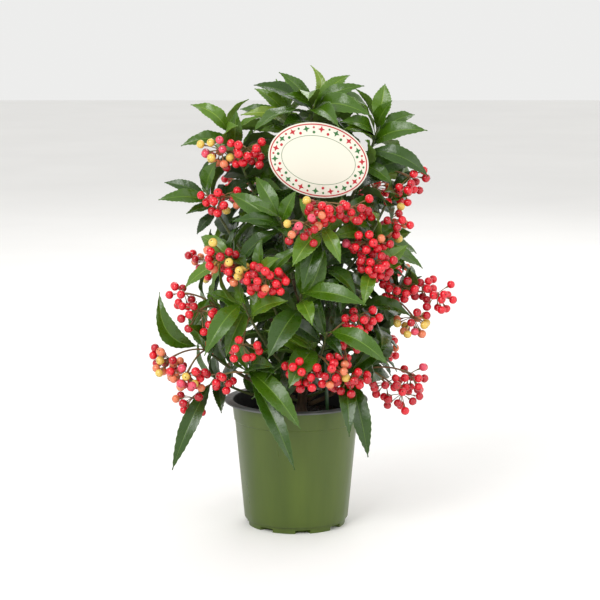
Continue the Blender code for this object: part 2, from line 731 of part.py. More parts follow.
def build():
    """Grow the plant, then make every solid."""
    clear_scene()
    bark = material("bark", (0.11, 0.065, 0.03), 0.8)
    foliage = material("foliage", (0.03, 0.11, 0.015), 0.4)
    white_card = material("card", (0.8, 0.8, 0.74), 0.3)
    peat = material("peat", (0.012, 0.008, 0.006), 0.95)

    stations = trunk_stations()
    limbs["trunk"] = tube([trunk_at(z) for z, _ in stations], [r for _, r in stations],
                          TRUNK_SIDES, level=True)
    stems = {shoot.name: grow_limb(shoot) for shoot in SHOOTS}
    for name, shape in limbs.items():
        space.add(name, shape)
    for name, solids in growth.items():
        space.add(name, solids[0])
    space.add("pot", turned(pot_profile(), POT_SIDES))
    space.add("soil", turned(soil_profile(), POT_SIDES))
    space.add("card", card_shape(grow=0.5))
    space.add("pick", pick_shape(grow=0.3))

    roots = {}
    for shoot in SHOOTS:
        for index, (hub, _) in enumerate(shoot.umbels):
            roots[shoot.name, index] = grow_peduncle(shoot, stems[shoot.name][0], Vector(hub))
    for shoot in SHOOTS:
        grow_key_leaves(shoot, *stems[shoot.name])
    space.add("sight", card_shape(grow=-4, depth=SIGHT_LENGTH))
    for shoot in SHOOTS:
        for index, (hub, count) in enumerate(shoot.umbels):
            grow_umbel(shoot, index, roots[shoot.name, index], Vector(hub), count)
    for shoot in SHOOTS:
        grow_rule_leaves(shoot, *stems[shoot.name], shoot.more)

    build_pot()
    soil = make_object("soil", turned(soil_profile(), POT_SIDES), peat)
    slot = make_object("slot", pick_shape(grow=GAP), peat)
    apply_boolean(soil, "DIFFERENCE", other=slot)
    bpy.data.objects.remove(slot)
    make_object("card", card_shape(), white_card)
    make_object("card_pick", pick_shape(), material("pick", (0.03, 0.1, 0.03), 0.4))
    for name, shape in limbs.items():
        make_object(name, shape, bark)
    for name, solids in growth.items():
        fuse("foliage_" + name, solids, foliage)


build()
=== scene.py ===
# %% [markdown]
# # A potted coral ardisia
# A shrub is hundreds of leaves and fruits that all follow one way of growing. This lesson grows
# it by the same rule as its CAD model, so that every leaf of the model is a leaf of the picture,
# and then lets the rule run on until the crown is as full as the real one.

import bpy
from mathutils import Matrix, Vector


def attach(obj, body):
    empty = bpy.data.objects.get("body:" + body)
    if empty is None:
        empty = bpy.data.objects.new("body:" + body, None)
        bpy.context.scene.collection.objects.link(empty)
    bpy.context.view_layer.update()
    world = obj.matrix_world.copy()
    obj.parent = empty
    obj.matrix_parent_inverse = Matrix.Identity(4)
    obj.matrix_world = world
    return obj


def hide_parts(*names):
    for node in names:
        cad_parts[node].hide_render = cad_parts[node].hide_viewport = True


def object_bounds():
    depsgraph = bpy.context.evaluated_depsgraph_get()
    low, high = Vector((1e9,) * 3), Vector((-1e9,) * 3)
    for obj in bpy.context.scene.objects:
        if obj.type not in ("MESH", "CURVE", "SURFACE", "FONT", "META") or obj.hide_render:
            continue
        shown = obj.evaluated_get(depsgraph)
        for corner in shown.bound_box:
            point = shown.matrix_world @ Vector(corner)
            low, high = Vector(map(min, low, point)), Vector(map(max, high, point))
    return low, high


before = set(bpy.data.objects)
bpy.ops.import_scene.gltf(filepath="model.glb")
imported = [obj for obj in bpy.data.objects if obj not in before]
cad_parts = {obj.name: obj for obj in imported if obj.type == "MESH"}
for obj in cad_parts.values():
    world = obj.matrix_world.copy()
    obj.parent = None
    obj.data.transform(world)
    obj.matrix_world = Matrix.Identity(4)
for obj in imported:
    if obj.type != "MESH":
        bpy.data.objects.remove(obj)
cad_box = [list(corner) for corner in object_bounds()]
print("CAD box", [[round(x, 4) for x in corner] for corner in cad_box])

# %% [markdown]
# ## Sizes
# The sizes are in millimetres, as in the CAD source, and `MM` turns them into metres. The finer
# shapes further down start from the same numbers.

# %% Sizes
import math
from dataclasses import dataclass
from random import Random

import bmesh
import bpy
from mathutils import Vector, noise
from mathutils.bvhtree import BVHTree

MM = 0.001
GAP = 0.3            # space left between neighbouring solids
CLEAR = 0.45         # space a leaf or fruit keeps from everything else
UP = Vector((0, 0, 1))
GOLDEN_ANGLE = math.radians(137.5)

# Pot, turned about Z
POT_SIDES = 36
POT_HEIGHT = 115.0
RIM_RADIUS = 65.0
RIM_THICK = 1.8
NECK_RADIUS = 58.4
COLLAR_HEIGHT = 97.0
COLLAR_RADIUS = 56.4
WALL_TOP_RADIUS = 55.6
WALL_FOOT_RADIUS = 47.3
FOOT_HEIGHT = 6.2
FOOT_RADIUS = 45.0
BASE_RADIUS = 44.5
WALL = 1.5
FLOOR = 2.0
NOTCHES = 8
NOTCH_WIDTH = 13.0
NOTCH_HEIGHT = 3.4
NOTCH_DEPTH = 7.0
SOIL_TOP = 99.0

# Trunk
TRUNK_FOOT = Vector((4, 0, SOIL_TOP + GAP))
TRUNK_TIP = Vector((14, 0, 350))
TRUNK_BOW = Vector((4, -3, 0))
TRUNK_SIDES = 8
TRUNK_RADII = (7.0, 4.5, 4.0, 3.6, 3.2, 2.7, 2.2)
FLARE_HEIGHT = 9.0

# Boughs, stems and leaves
BOUGH_RADIUS = 2.1
STEM_RADIUS = 1.5
STEM_TIP_RADIUS = 1.0
BOUGH_SHARE = 0.5    # part of a shoot that is bough, before its foliage starts
LEAF_LENGTH = 62.0
LEAF_THICK = 0.8
ROOT_OFFSET = 0.5    # roots start this far off the centre of what carries them
VEE = 0.28           # rise of a leaf's margins over its midrib, for its half-width
FACING_FRONT = Vector((0, -0.8, 0.6))

# Fruit
BERRY_RADIUS = 4.2
PEDICEL_RADIUS = 0.55
PEDICEL_ROOT_RADIUS = 0.4
PEDUNCLE_RADIUS = 0.8
HUB_RADIUS = 1.3
UMBEL_RADIUS = 15.0
UMBEL_CAP = math.radians(105)
BERRY_SHARE = 0.2    # share of each umbel's berries that the CAD model has

# Name card on its pick
CARD_CENTRE = Vector((19.5, -48, 336))
CARD_HALF_WIDTH = 44.0
CARD_HALF_HEIGHT = 32.3
CARD_TILT = math.radians(-12.7)
CARD_THICK = 1.0
CARD_SIDES = 32
PICK_RADIUS = 1.5
PICK_DEPTH = 45.0
PICK_FOOT = (30, -34)
SIGHT_LENGTH = 110.0  # the card stays in view over this distance in front of it

print("pot:", 2 * RIM_RADIUS, "mm wide and", POT_HEIGHT, "mm high")

# %% [markdown]
# ## The shoots
# Each shoot says where it leaves the trunk, where it ends, and which leaves and umbels stand out
# on it. Their places were read from the photograph, and those behind the crown are a guess.

# %% The shoots
@dataclass
class Shoot:
    """One shoot: where it leaves the trunk, where it ends, and what it is seen to carry.

    Each leaf is its tip's x, y and z, then arch, width and sway for its length: its arch is up
    and its sway to the side. Each umbel is its hub's x, y and z, and the number of its berries.
    more is the number of further leaves that the rule adds.
    """
    name: str
    foot: float
    tip: tuple
    leaves: tuple = ()
    umbels: tuple = ()
    more: int = 3
    bough: bool = True


SHOOTS = (
    Shoot("leader", 350, (14, 0, 381), (
        (13, 8, 415, 0.1, 0.26, 0.5), (-15, -15, 410, 0.3, 0.3, 0), (48, 12, 406, 0.4, 0.28, 0),
        (60, -12, 398, 0.45, 0.28, 0), (-10, -38, 392, 0.3, 0.28, 0), (66, -35, 373, 0.6, 0.36, 0),
        (37, -66, 366, 0.4, 0.28, 0)), more=4, bough=False),
    Shoot("leader_left", 272, (-7, 17, 366), (
        (-37, 14, 394, 0.5, 0.34, 0), (-18, 26, 402, 0.2, 0.34, 0), (-49, -6, 372, 0.6, 0.28, 0),
        (-33, 22, 355, 0.45, 0.3, 0)), more=2),
    Shoot("left_shoulder", 236, (-58, -5, 353), (
        (-93, -5, 381, 0.7, 0.34, 0), (-101, -22, 346, 0.4, 0.3, 0),
        (-52, -26, 378, 0.3, 0.36, 0)), (
        (-66, -28, 343, 12), (-44, -36, 345, 14)), more=2),
    Shoot("right_shoulder", 248, (74, 0, 364), (
        (79, 4, 399, 0.2, 0.5, 0), (84, -25, 386, 0.25, 0.4, 0), (106, 12, 371, 0.4, 0.36, 0),
        (52, -4, 372, 0.2, 0.34, 0), (115, -28, 360, 0.45, 0.34, 0)), more=2),
    Shoot("right_neck", 214, (60, -22, 341), (
        (116, -30, 320, 0.5, 0.3, 0), (84, -32, 314, 0.35, 0.44, 0), (36, 0, 366, 0.2, 0.34, 0)), (
        (100, -24, 319, 6),), more=3, bough=False),
    Shoot("left_arm", 196, (-80, -10, 305), (
        (-69, -34, 334, 0.2, 0.4, 0), (-117, -6, 312, 0.25, 0.3, 0), (-121, -28, 299, 0.3, 0.3, 0),
        (-96, -38, 288, 0.2, 0.26, 0), (-88, -15, 267, 0.4, 0.4, 0)), (
        (-66, -38, 303, 13),), more=2),
    Shoot("right_arm", 202, (90, -14, 318), (
        (93, -4, 337, 0.1, 0.4, 0), (107, -20, 324, 0.2, 0.36, 0), (101, -22, 303, 0.3, 0.5, 0)), (
        (94, -16, 309, 7),), more=1, bough=False),
    Shoot("front_left", 190, (-13, -72, 289), (
        (-40, -84, 303, 0.2, 0.34, 0), (0, -84, 313, 0.2, 0.4, 0), (-54, -92, 288, 0.35, 0.28, 0),
        (-5, -96, 273, 0.4, 0.4, 0), (-32, -58, 312, 0.4, 0.28, 0)), (
        (7, -92, 286, 9),), more=1),
    Shoot("front_high", 180, (22, -70, 281), (
        (38, -92, 252, 0.35, 0.34, 0), (-3, -97, 250, 0.35, 0.44, 0),
        (6, -88, 228, 0.35, 0.34, 0)), (
        (26, -82, 303, 24), (49, -72, 298, 9)), more=1),
    Shoot("right_high", 176, (66, -45, 268), (
        (27, -82, 271, 0.35, 0.3, 0), (84, -58, 251, 0.45, 0.3, 0), (92, -44, 278, 0.6, 0.34, 0)), (
        (82, -42, 283, 9), (62, -66, 267, 14)), more=2),
    Shoot("left_mid", 164, (-56, -45, 250), (
        (-98, -36, 222, 0.3, 0.24, 0), (-42, -82, 246, 0.35, 0.34, 0)), (
        (-64, -62, 256, 16), (-50, -66, 246, 14)), more=3),
    Shoot("front_left_mid", 158, (-29, -72, 238), (
        (-14, -96, 257, 0.3, 0.4, 0),), (
        (-25, -88, 240, 24),), more=2, bough=False),
    Shoot("right_mid", 150, (66, -55, 240), (
        (58, -84, 214, 0.4, 0.34, 0),), (
        (68, -68, 250, 18),), more=3),
    Shoot("far_right", 140, (92, -10, 214), (
        (112, -14, 229, 0.3, 0.26, 0),), (
        (92, -26, 222, 9), (112, -14, 222, 10), (125, -22, 214, 8), (104, -26, 194, 12)), more=4),
    Shoot("front_centre", 146, (4, -75, 223), (
        (60, -100, 217, 0.35, 0.3, 0), (14, -102, 200, 0.35, 0.42, 0),
        (-24, -108, 172, 0.35, 0.38, 0)), more=3, bough=False),
    Shoot("front_right_low", 128, (27, -78, 190), (
        (79, -104, 166, 0.5, 0.3, 0), (40, -100, 172, 0.4, 0.34, 0)), (
        (54, -76, 204, 10), (42, -84, 178, 6)), more=2, bough=False),
    Shoot("front_low", 122, (16, -62, 172), (
        (-6, -104, 146, 0.35, 0.44, 0),), (
        (6, -88, 160, 16), (30, -90, 160, 16), (46, -78, 150, 12)), more=2, bough=False),
    Shoot("front_left_low", 136, (-46, -70, 214), (
        (-78, -104, 174, 0.45, 0.3, 0), (-60, -96, 172, 0.3, 0.34, 0)), (
        (-46, -92, 182, 6),), more=3, bough=False),
    Shoot("left_low_mid", 132, (-76, -25, 212), (
        (-92, -46, 186, 0.3, 0.3, 0),), (
        (-99, -30, 216, 6), (-84, -48, 204, 7)), more=3, bough=False),
    Shoot("far_left", 116, (-84, -18, 166), (
        (-121, -28, 217, 0.2, 0.3, -0.6), (-94, -56, 192, 0.3, 0.3, 0)), (
        (-112, -34, 158, 16), (-96, -52, 148, 15)), more=2),
    Shoot("low_left", 109, (-74, -14, 136), (
        (-110, -48, 60, 0.3, 0.18, 0), (-66, -50, 112, 0.3, 0.3, 0)), (
        (-92, -32, 122, 5),), more=2, bough=False),
    Shoot("over_rim", 114, (-44, -54, 152), (
        (4, -96, 108, 0.4, 0.27, 0), (-1, -104, 74, 0.3, 0.17, 0)), (
        (-66, -50, 146, 5),), more=2, bough=False),
    Shoot("low_right", 118, (46, -48, 148), (
        (63, -74, 78, 0.4, 0.23, 0), (46, -94, 101, 0.4, 0.24, 0),
        (60, -68, 170, 0.2, 0.34, 0)), more=1, bough=False),
    Shoot("far_right_low", 110, (64, -22, 148), (), (
        (102, -22, 142, 10), (80, -36, 136, 8), (94, -34, 126, 6)), more=4),
    Shoot("back_high", 262, (16, 54, 356), more=6),
    Shoot("back_left_high", 232, (-42, 54, 322), umbels=((-50, 76, 304, 12),), more=6),
    Shoot("back_right_high", 226, (62, 48, 316), umbels=((72, 66, 300, 12),), more=6),
    Shoot("back_mid", 186, (6, 78, 276), umbels=((2, 98, 262, 14), (28, 92, 286, 10)), more=6),
    Shoot("back_left_mid", 170, (-66, 54, 240), umbels=((-82, 62, 230, 14),), more=6),
    Shoot("back_right_mid", 162, (72, 50, 244), umbels=((84, 60, 226, 14),), more=6),
    Shoot("back_low", 126, (8, 80, 196), umbels=((-14, 98, 184, 14), (26, 96, 180, 12)), more=6),
    Shoot("back_left_low", 120, (-62, 60, 166), umbels=((-72, 80, 156, 12),), more=6),
    Shoot("back_right_low", 112, (66, 58, 162), umbels=((80, 74, 150, 14),), more=6),
)

# Half-width of the whole crown over its height: leaves that the rule adds stay inside it
CROWN = ((112, 66), (140, 96), (220, 104), (300, 100), (350, 94), (385, 72), (414, 34))
print(len(SHOOTS), "shoots and", sum(len(shoot.umbels) for shoot in SHOOTS), "umbels")

# %% [markdown]
# ## The growing rule
# A shoot leaves the trunk nearly level and then turns up to the light. A leaf's midrib is one
# Bezier curve, and its blade widens and narrows along it. These are the CAD source's functions.

# %% Curves
def mix(a, b, t):
    return a + (b - a) * t


def bezier(p0, p1, p2, t):
    return p0 * (1 - t) ** 2 + p1 * 2 * t * (1 - t) + p2 * t ** 2


def bezier_tangent(p0, p1, p2, t):
    return ((p1 - p0) * (1 - t) + (p2 - p1) * t).normalized()


def side_of(direction):
    """A level unit vector across a direction."""
    across = direction.cross(UP)
    return across.normalized() if across.length > 0.05 else Vector((1, 0, 0))

# %% [markdown]
# The trunk is nearly straight, with a slight lean and bow, so that one short formula gives its
# centre at any height. Its radius is read between a few measured stations.

# %% The trunk's line and the crown's reach
def trunk_at(height):
    """Centre of the trunk at a height: it leans and bows a little."""
    t = (height - TRUNK_FOOT.z) / (TRUNK_TIP.z - TRUNK_FOOT.z)
    return mix(TRUNK_FOOT, TRUNK_TIP, t) + TRUNK_BOW * math.sin(math.pi * t)


def trunk_stations():
    """Heights and radii of the trunk, from the flared foot to the tip."""
    above = SOIL_TOP + GAP + FLARE_HEIGHT
    step = (TRUNK_TIP.z - above) / (len(TRUNK_RADII) - 2)
    heights = [TRUNK_FOOT.z] + [above + step * i for i in range(len(TRUNK_RADII) - 1)]
    return list(zip(heights, TRUNK_RADII))


def trunk_radius(height):
    stations = trunk_stations()
    for (low, wide), (high, thin) in zip(stations, stations[1:]):
        if height <= high:
            return mix(wide, thin, (height - low) / (high - low))
    return TRUNK_RADII[-1]


def crown_reach(height):
    for (low, near), (high, far) in zip(CROWN, CROWN[1:]):
        if low <= height <= high:
            return mix(near, far, (height - low) / (high - low))
    return 0.0


print("trunk", round(trunk_radius(TRUNK_FOOT.z), 1), "mm in radius at the soil and",
      round(trunk_radius(TRUNK_TIP.z), 1), "at its tip")

# %% [markdown]
# Stems, stalks and the card's pick are all tubes along a line of points. A tube carries its
# sections along without twisting: each one starts from the one before.

# %% A tube
def tube(points, radii, sides, level=False):
    """A closed tube through the points, as (vertices, faces), its sections level if asked."""
    verts, faces = [], []
    across = None
    for i, (point, radius) in enumerate(zip(points, radii)):
        along = UP if level else points[min(i + 1, len(points) - 1)] - points[max(i - 1, 0)]
        along = along.normalized()
        if across is None:
            across = side_of(along)
        else:
            across = (across - along * across.dot(along)).normalized()
        other = along.cross(across)
        for k in range(sides):
            angle = 2 * math.pi * k / sides
            verts.append(point + (across * math.cos(angle) + other * math.sin(angle)) * radius)
    for i in range(len(points) - 1):
        for k in range(sides):
            a, b = i * sides + k, i * sides + (k + 1) % sides
            faces.append((a, b, b + sides, a + sides))
    last = (len(points) - 1) * sides
    faces.append(tuple(range(sides - 1, -1, -1)))
    faces.append(tuple(range(last, last + sides)))
    return verts, faces

# %% [markdown]
# The rule knows a leaf as a folded blade of eleven corners. That is enough to tell whether it
# would touch something. The fine blade that is seen comes later, on the same curve.

# %% A leaf as the rule sees it
def leaf_curve(base, tip, arch, sway, facing):
    """Control points of a leaf's midrib, and the vector across its blade."""
    chord = tip - base
    along = chord.normalized()
    side = along.cross(facing).normalized()
    top = side.cross(along)
    middle = (base + tip) / 2 + (top * arch + side * sway) * chord.length
    return (base, middle, tip), side


def leaf_profile(s):
    """Half-width of the blade along the leaf, 1 at its widest, pointed at both ends."""
    x = (s - 0.08) / 0.92
    return (x / 0.45) ** 0.9 * ((1 - x) / 0.55) ** 1.1 if 0 < x < 1 else 0.0


def leaf_solid(base, tip, arch, width, sway, facing, first=0.0, grow=0.0):
    """A leaf as a thin folded blade: an upright edge at its root, two diamonds and its point."""
    curve, side = leaf_curve(base, tip, arch, sway, facing)
    half = width * (tip - base).length / 2
    thick = LEAF_THICK / 2 + grow
    verts = []
    for s in (first, 0.4, 0.72):
        point = bezier(*curve, s)
        top = side.cross(bezier_tangent(*curve, s)).normalized()
        verts += [point + top * thick, point - top * thick]
        if s > first:
            reach = side * (half * leaf_profile(s) + grow)
            rise = top * VEE * half * leaf_profile(s)
            verts += [point + reach + rise, point - reach + rise]
    verts.append(tip + bezier_tangent(*curve, 1.0) * grow)
    faces = [(0, 1, 4), (1, 0, 5), (0, 4, 2), (0, 2, 5), (1, 3, 4), (1, 5, 3)]
    for a, b in ((2, 4), (4, 3), (3, 5), (5, 2)):
        faces += [(a, b, b + 4, a + 4), (a + 4, b + 4, 10)]
    return verts, faces

# %% [markdown]
# A berry is known by an icosahedron. One of its faces is drawn out into the stalk that joins it
# to the hub of its umbel, so that berry and stalk are tested at once.

# %% A berry as the rule sees it
def berry_shape():
    """Corners and faces of a unit icosahedron."""
    ratio = (1 + 5 ** 0.5) / 2
    corners = []
    for one in (1, -1):
        for two in (ratio, -ratio):
            corners += [Vector((0, one, two)), Vector((one, two, 0)), Vector((two, 0, one))]
    faces = []
    for i in range(12):
        for j in range(i + 1, 12):
            for k in range(j + 1, 12):
                a, b, c = corners[i], corners[j], corners[k]
                if max((a - b).length, (b - c).length, (c - a).length) < 2.01:
                    outward = (b - a).cross(c - a).dot(a + b + c) > 0
                    faces.append((i, j, k) if outward else (i, k, j))
    return [corner.normalized() for corner in corners], faces


BERRY_CORNERS, BERRY_FACES = berry_shape()


def berry_solid(hub, centre, grow=0.0, pedicel=True):
    """A berry with its pedicel: one face of the berry is drawn out to the hub."""
    towards = (hub - centre).normalized()
    open_face = BERRY_FACES[0]
    normal = sum((BERRY_CORNERS[i] for i in open_face), Vector()).normalized()
    turn = normal.rotation_difference(towards)
    around = [turn @ corner for corner in BERRY_CORNERS]
    verts = [centre + corner * (BERRY_RADIUS + grow) for corner in around]
    if not pedicel:
        return verts, list(BERRY_FACES)
    faces = list(BERRY_FACES[1:])
    ring = open_face
    level = [(around[i] - towards * around[i].dot(towards)).normalized() for i in open_face]
    for start, radius in ((centre + towards * BERRY_RADIUS * 0.95, PEDICEL_RADIUS),
                          (hub - towards * ROOT_OFFSET, PEDICEL_ROOT_RADIUS)):
        following = tuple(range(len(verts), len(verts) + 3))
        verts += [start + way * (radius + grow) for way in level]
        faces += [(ring[k], ring[(k + 1) % 3], following[(k + 1) % 3], following[k])
                  for k in range(3)]
        ring = following
    faces.append(ring)
    return verts, faces

# %% [markdown]
# ## Nothing grows through anything else
# Each new leaf or berry is tested against all that is placed already. A tree of boxes (a BVH)
# answers quickly whether two meshes cross, and a leaf that would cross something isn't grown.

# %% Taken space
def around(verts):
    """The middle of some corners, and how far they reach from it."""
    centre = sum(verts, Vector()) / len(verts)
    return centre, max((v - centre).length for v in verts)


class Space:
    """Everything that is placed already, so that nothing grows through anything else."""

    def __init__(self):
        self.solids = []

    def add(self, owner, shape):
        self.solids.append((owner, *around(shape[0]), BVHTree.FromPolygons(*shape)))

    def meets(self, owner, shape, own):
        """The owner of the first solid that a shape meets, among its own or among the others'."""
        centre, reach = around(shape[0])
        tree = None
        for other, middle, size, placed in self.solids:
            if (other == owner) == own and (middle - centre).length < reach + size:
                tree = tree or BVHTree.FromPolygons(*shape)
                if tree.overlap(placed):
                    return other
        return None


space = Space()
limbs = {}           # trunk and boughs, as the rule sees them
stems = []           # (shoot, curve, start): the stem runs from start to the curve's end
peduncles = []       # (root, middle, hub) of each umbel's stalk
leaves = []          # (shoot, age, leaf)
berries = []         # (shoot, umbel, hub, centre)

# %% [markdown]
# ## Shoots
# Where a shoot has a bough, that is its first half. The rest is the green stem that carries the
# leaves. `grow_limb` also returns functions for a stem's point and heading at any share of it.

# %% Shoots
def shoot_curve(shoot):
    """Control points of a shoot: out from the trunk, then up to its tip."""
    foot, tip = trunk_at(shoot.foot), Vector(shoot.tip)
    out = Vector((tip.x - foot.x, tip.y - foot.y, 0))
    if out.length < 10:
        return foot, (foot + tip) / 2, tip
    start = foot + out.normalized() * (trunk_radius(shoot.foot) + 2 * GAP + BOUGH_RADIUS)
    middle = foot + out * 0.62 + UP * (tip.z - foot.z) * 0.34
    return start, middle, tip


def grow_limb(shoot):
    """Take the bough's and stem's space as the CAD source does, and note their curves."""
    curve = shoot_curve(shoot)
    start = 0.0
    if shoot.bough:
        stop = BOUGH_SHARE
        points = [bezier(*curve, stop * i / 3) for i in range(4)]
        radii = [mix(BOUGH_RADIUS, STEM_RADIUS, i / 3) for i in range(4)]
        limbs["bough_" + shoot.name] = tube(points, radii, 5)
        start = stop + GAP * 1.2 / (curve[2] - curve[0]).length
    elif shoot.name == "leader":
        start = (GAP + 0.1) / (curve[2] - curve[0]).length
    points = [bezier(*curve, mix(start, 1, i / 3)) for i in range(4)]
    points.append(points[-1] + bezier_tangent(*curve, 1.0) * 2)
    solid = tube(points, [mix(STEM_RADIUS, STEM_TIP_RADIUS, i / 4) for i in range(5)], 4)
    stems.append((shoot, curve, start))
    return (solid, lambda t: bezier(*curve, mix(start, 1, t)),
            lambda t: bezier_tangent(*curve, mix(start, 1, t)))


# %% [markdown]
# ## Umbels
# The fruit hangs in umbels: stalks that spread from one hub like the ribs of an umbrella. The
# golden angle spreads them evenly, as it does the seeds of a sunflower.

# %% Stalks of the umbels
def umbel_axis(root, hub):
    """An umbel hangs outward and down from the end of its peduncle."""
    out = Vector((hub.x - root.x, hub.y - root.y, 0))
    out = out.normalized() if out.length > 1 else Vector((hub.x, hub.y, 0)).normalized()
    return (out * 0.45 - UP).normalized()


def grow_peduncle(shoot, stem, hub):
    """From the nearest point of the stem, up a little and down to the umbel's hub."""
    root = min((stem(0.06 + 0.04 * i) for i in range(22)), key=lambda point: (point - hub).length)
    middle = (root + hub) / 2 + UP * 0.2 * (hub - root).length
    points = [bezier(root, middle, hub, i / 3) for i in range(4)]
    points.append(hub + (points[3] - points[2]).normalized() * 1.2)
    space.add(shoot.name, tube(points, [PEDUNCLE_RADIUS] * 3 + [HUB_RADIUS, PEDUNCLE_RADIUS], 3))
    peduncles.append((root, middle, hub))
    return root


# %% Berries of the umbels
NEARER = (1, 0.8, 1.22, 0.62)   # shares of its reach that a berry tries in turn
CROWDING = 0.45                 # berries set between those of a full umbel, for its count
CROWD_ROOM = -0.2               # those are tested a little smaller against their own shoot, in mm


def umbel_order(count):
    """Berries spread evenly over the umbel whatever share of them is placed."""
    step = next(n for n in (5, 7, 3, 11, 2, 1) if count % n or n == 1)
    return [i * step % count for i in range(count)]


def umbel_way(axis, share, turn):
    """A stalk's way: this share from the umbel's axis to its rim, and a turn about the axis."""
    lean = math.acos(mix(1, math.cos(UMBEL_CAP), share))
    across = side_of(axis)
    level = across * math.cos(turn) + axis.cross(across) * math.sin(turn)
    return axis * math.cos(lean) + level * math.sin(lean)


def umbel_spots(shoot, index, root, hub, count):
    """Each berry's place in its umbel, in the order in which the rule sets them."""
    rng = Random(f"{shoot.name} umbel {index}")
    for k in umbel_order(count):
        turn = k * GOLDEN_ANGLE + rng.uniform(-0.25, 0.25)
        reach = UMBEL_RADIUS * rng.uniform(0.82, 1.1)
        yield k, umbel_way(umbel_axis(root, hub), (k + 0.5) / count, turn), reach


def berry_fits(name, hub, centre, own_room=CLEAR / 2):
    """Whether a berry is clear: only what its own shoot carries may touch its stalk."""
    return not (space.meets(name, berry_solid(hub, centre, CLEAR), own=False)
                or space.meets(name, berry_solid(hub, centre, own_room, pedicel=False), own=True))


def set_berry(shoot, index, hub, centre):
    """Take the berry's space and note it."""
    space.add(shoot.name, berry_solid(hub, centre))
    berries.append((shoot, index, hub, centre))


def grow_umbel(shoot, index, root, hub, count, share, taken):
    """Set this share of the umbel's berries, where they fit."""
    for k, way, reach in umbel_spots(shoot, index, root, hub, count):
        if len(taken) >= share * count:
            break
        if k in taken:
            continue
        # Those of the CAD model keep their full reach.
        for factor in NEARER[:1] if share == BERRY_SHARE else NEARER:
            if berry_fits(shoot.name, hub, hub + way * reach * factor):
                set_berry(shoot, index, hub, hub + way * reach * factor)
                taken.add(k)
                break


def crowd_umbel(shoot, index, root, hub, count):
    """Set more berries between those of a full umbel, where a slightly smaller one fits."""
    rng = Random(f"{shoot.name} crowd {index}")
    placed = 0
    for k in range(count * 3):
        if placed >= CROWDING * count:
            break
        way = umbel_way(umbel_axis(root, hub), rng.random(), k * GOLDEN_ANGLE)
        centre = hub + way * UMBEL_RADIUS * rng.uniform(0.6, 1.3)
        if berry_fits(shoot.name, hub, centre, own_room=CROWD_ROOM):
            set_berry(shoot, index, hub, centre)
            placed += 1


# %% [markdown]
# ## Leaves on the shoots
# First come the leaves that stand out, where they are seen. Then a golden spiral down the shoot
# sets further ones, and leaves out any that would cross something or leave the crown.

# %% Leaves that stand out
def rooted(point, along, tip):
    """Where a leaf is rooted in a stem: just off its centre, on the leaf's side."""
    away = tip - point
    away -= along * away.dot(along)
    return point + away.normalized() * ROOT_OFFSET


def leaf_meets(name, leaf):
    """The owner of what a leaf would meet, or None: near its root only the others' solids count."""
    return (space.meets(name, leaf_solid(*leaf, grow=CLEAR), own=False)
            or space.meets(name, leaf_solid(*leaf, first=0.36, grow=CLEAR / 2), own=True))


def add_leaf(shoot, age, leaf):
    """Take the leaf's space and note it."""
    space.add(shoot.name, leaf_solid(*leaf))
    leaves.append((shoot, age, leaf))


def grow_key_leaves(shoot, stem, heading):
    """The leaves that stand out, from the shoot's tip downward."""
    for index, (*tip, arch, width, sway) in enumerate(shoot.leaves):
        t = 1 - 0.07 * index
        base = rooted(stem(t), heading(t), Vector(tip))
        leaf = (base, Vector(tip), arch, width, sway, FACING_FRONT)
        if not leaf_meets(shoot.name, leaf):
            add_leaf(shoot, index / 8, leaf)


# %% Leaves by the rule
TRIES = 6            # how often a leaf is tried, for each one wanted
SHOOT_TOP = 0.96     # share of the stem at which its youngest leaf stands
INNER_TOP = 0.62     # the same for leaves inside the crown, which go down nearly the whole stem


def grow_rule_leaves(shoot, stem, heading, wanted, first=0.0, seed="leaves", top=SHOOT_TOP):
    """Further leaves in a golden spiral down the shoot, older ones longer and lower."""
    rng = Random(f"{shoot.name} {seed}")
    placed = 0
    for index in range(wanted * TRIES):
        if placed == wanted:
            break
        age = mix(first, 1, placed / max(wanted, 1))
        # Most stay near the tip, and those inside the crown go down the stem.
        t = top - 0.3 * age if top == SHOOT_TOP else top * (1 - age * 0.9)
        along = heading(t)
        across = side_of(along)
        turn = index * GOLDEN_ANGLE + rng.uniform(-0.2, 0.2)
        way = across * math.cos(turn) + along.cross(across) * math.sin(turn)
        lean = math.radians(mix(40, 95, age) + rng.uniform(-10, 10))
        length = LEAF_LENGTH * mix(0.8, 1.05, age) * rng.uniform(0.85, 1.1)
        base = stem(t)
        tip = base + (along * math.cos(lean) + way * math.sin(lean)) * length
        tip.z -= length * rng.uniform(0.05, 0.3)
        width = rng.uniform(0.3, 0.37)
        arch = rng.uniform(0.25, 0.45)
        centre = trunk_at(min(max(tip.z, TRUNK_FOOT.z), TRUNK_TIP.z))
        if math.hypot(tip.x - centre.x, tip.y - centre.y) > crown_reach(tip.z):
            continue
        outward = Vector((tip.x - centre.x, tip.y - centre.y, 0)).normalized()
        facing = UP * 0.6 + outward * 0.7 + side_of(outward) * rng.uniform(-0.7, 0.7)
        leaf = (rooted(base, along, tip), tip, arch, width, 0, facing)
        if not leaf_meets(shoot.name, leaf):
            add_leaf(shoot, age, leaf)
            placed += 1


# %% [markdown]
# ## Things that don't grow
# The pot, the peat, the card and its pick take space too, in the shapes of the CAD source.

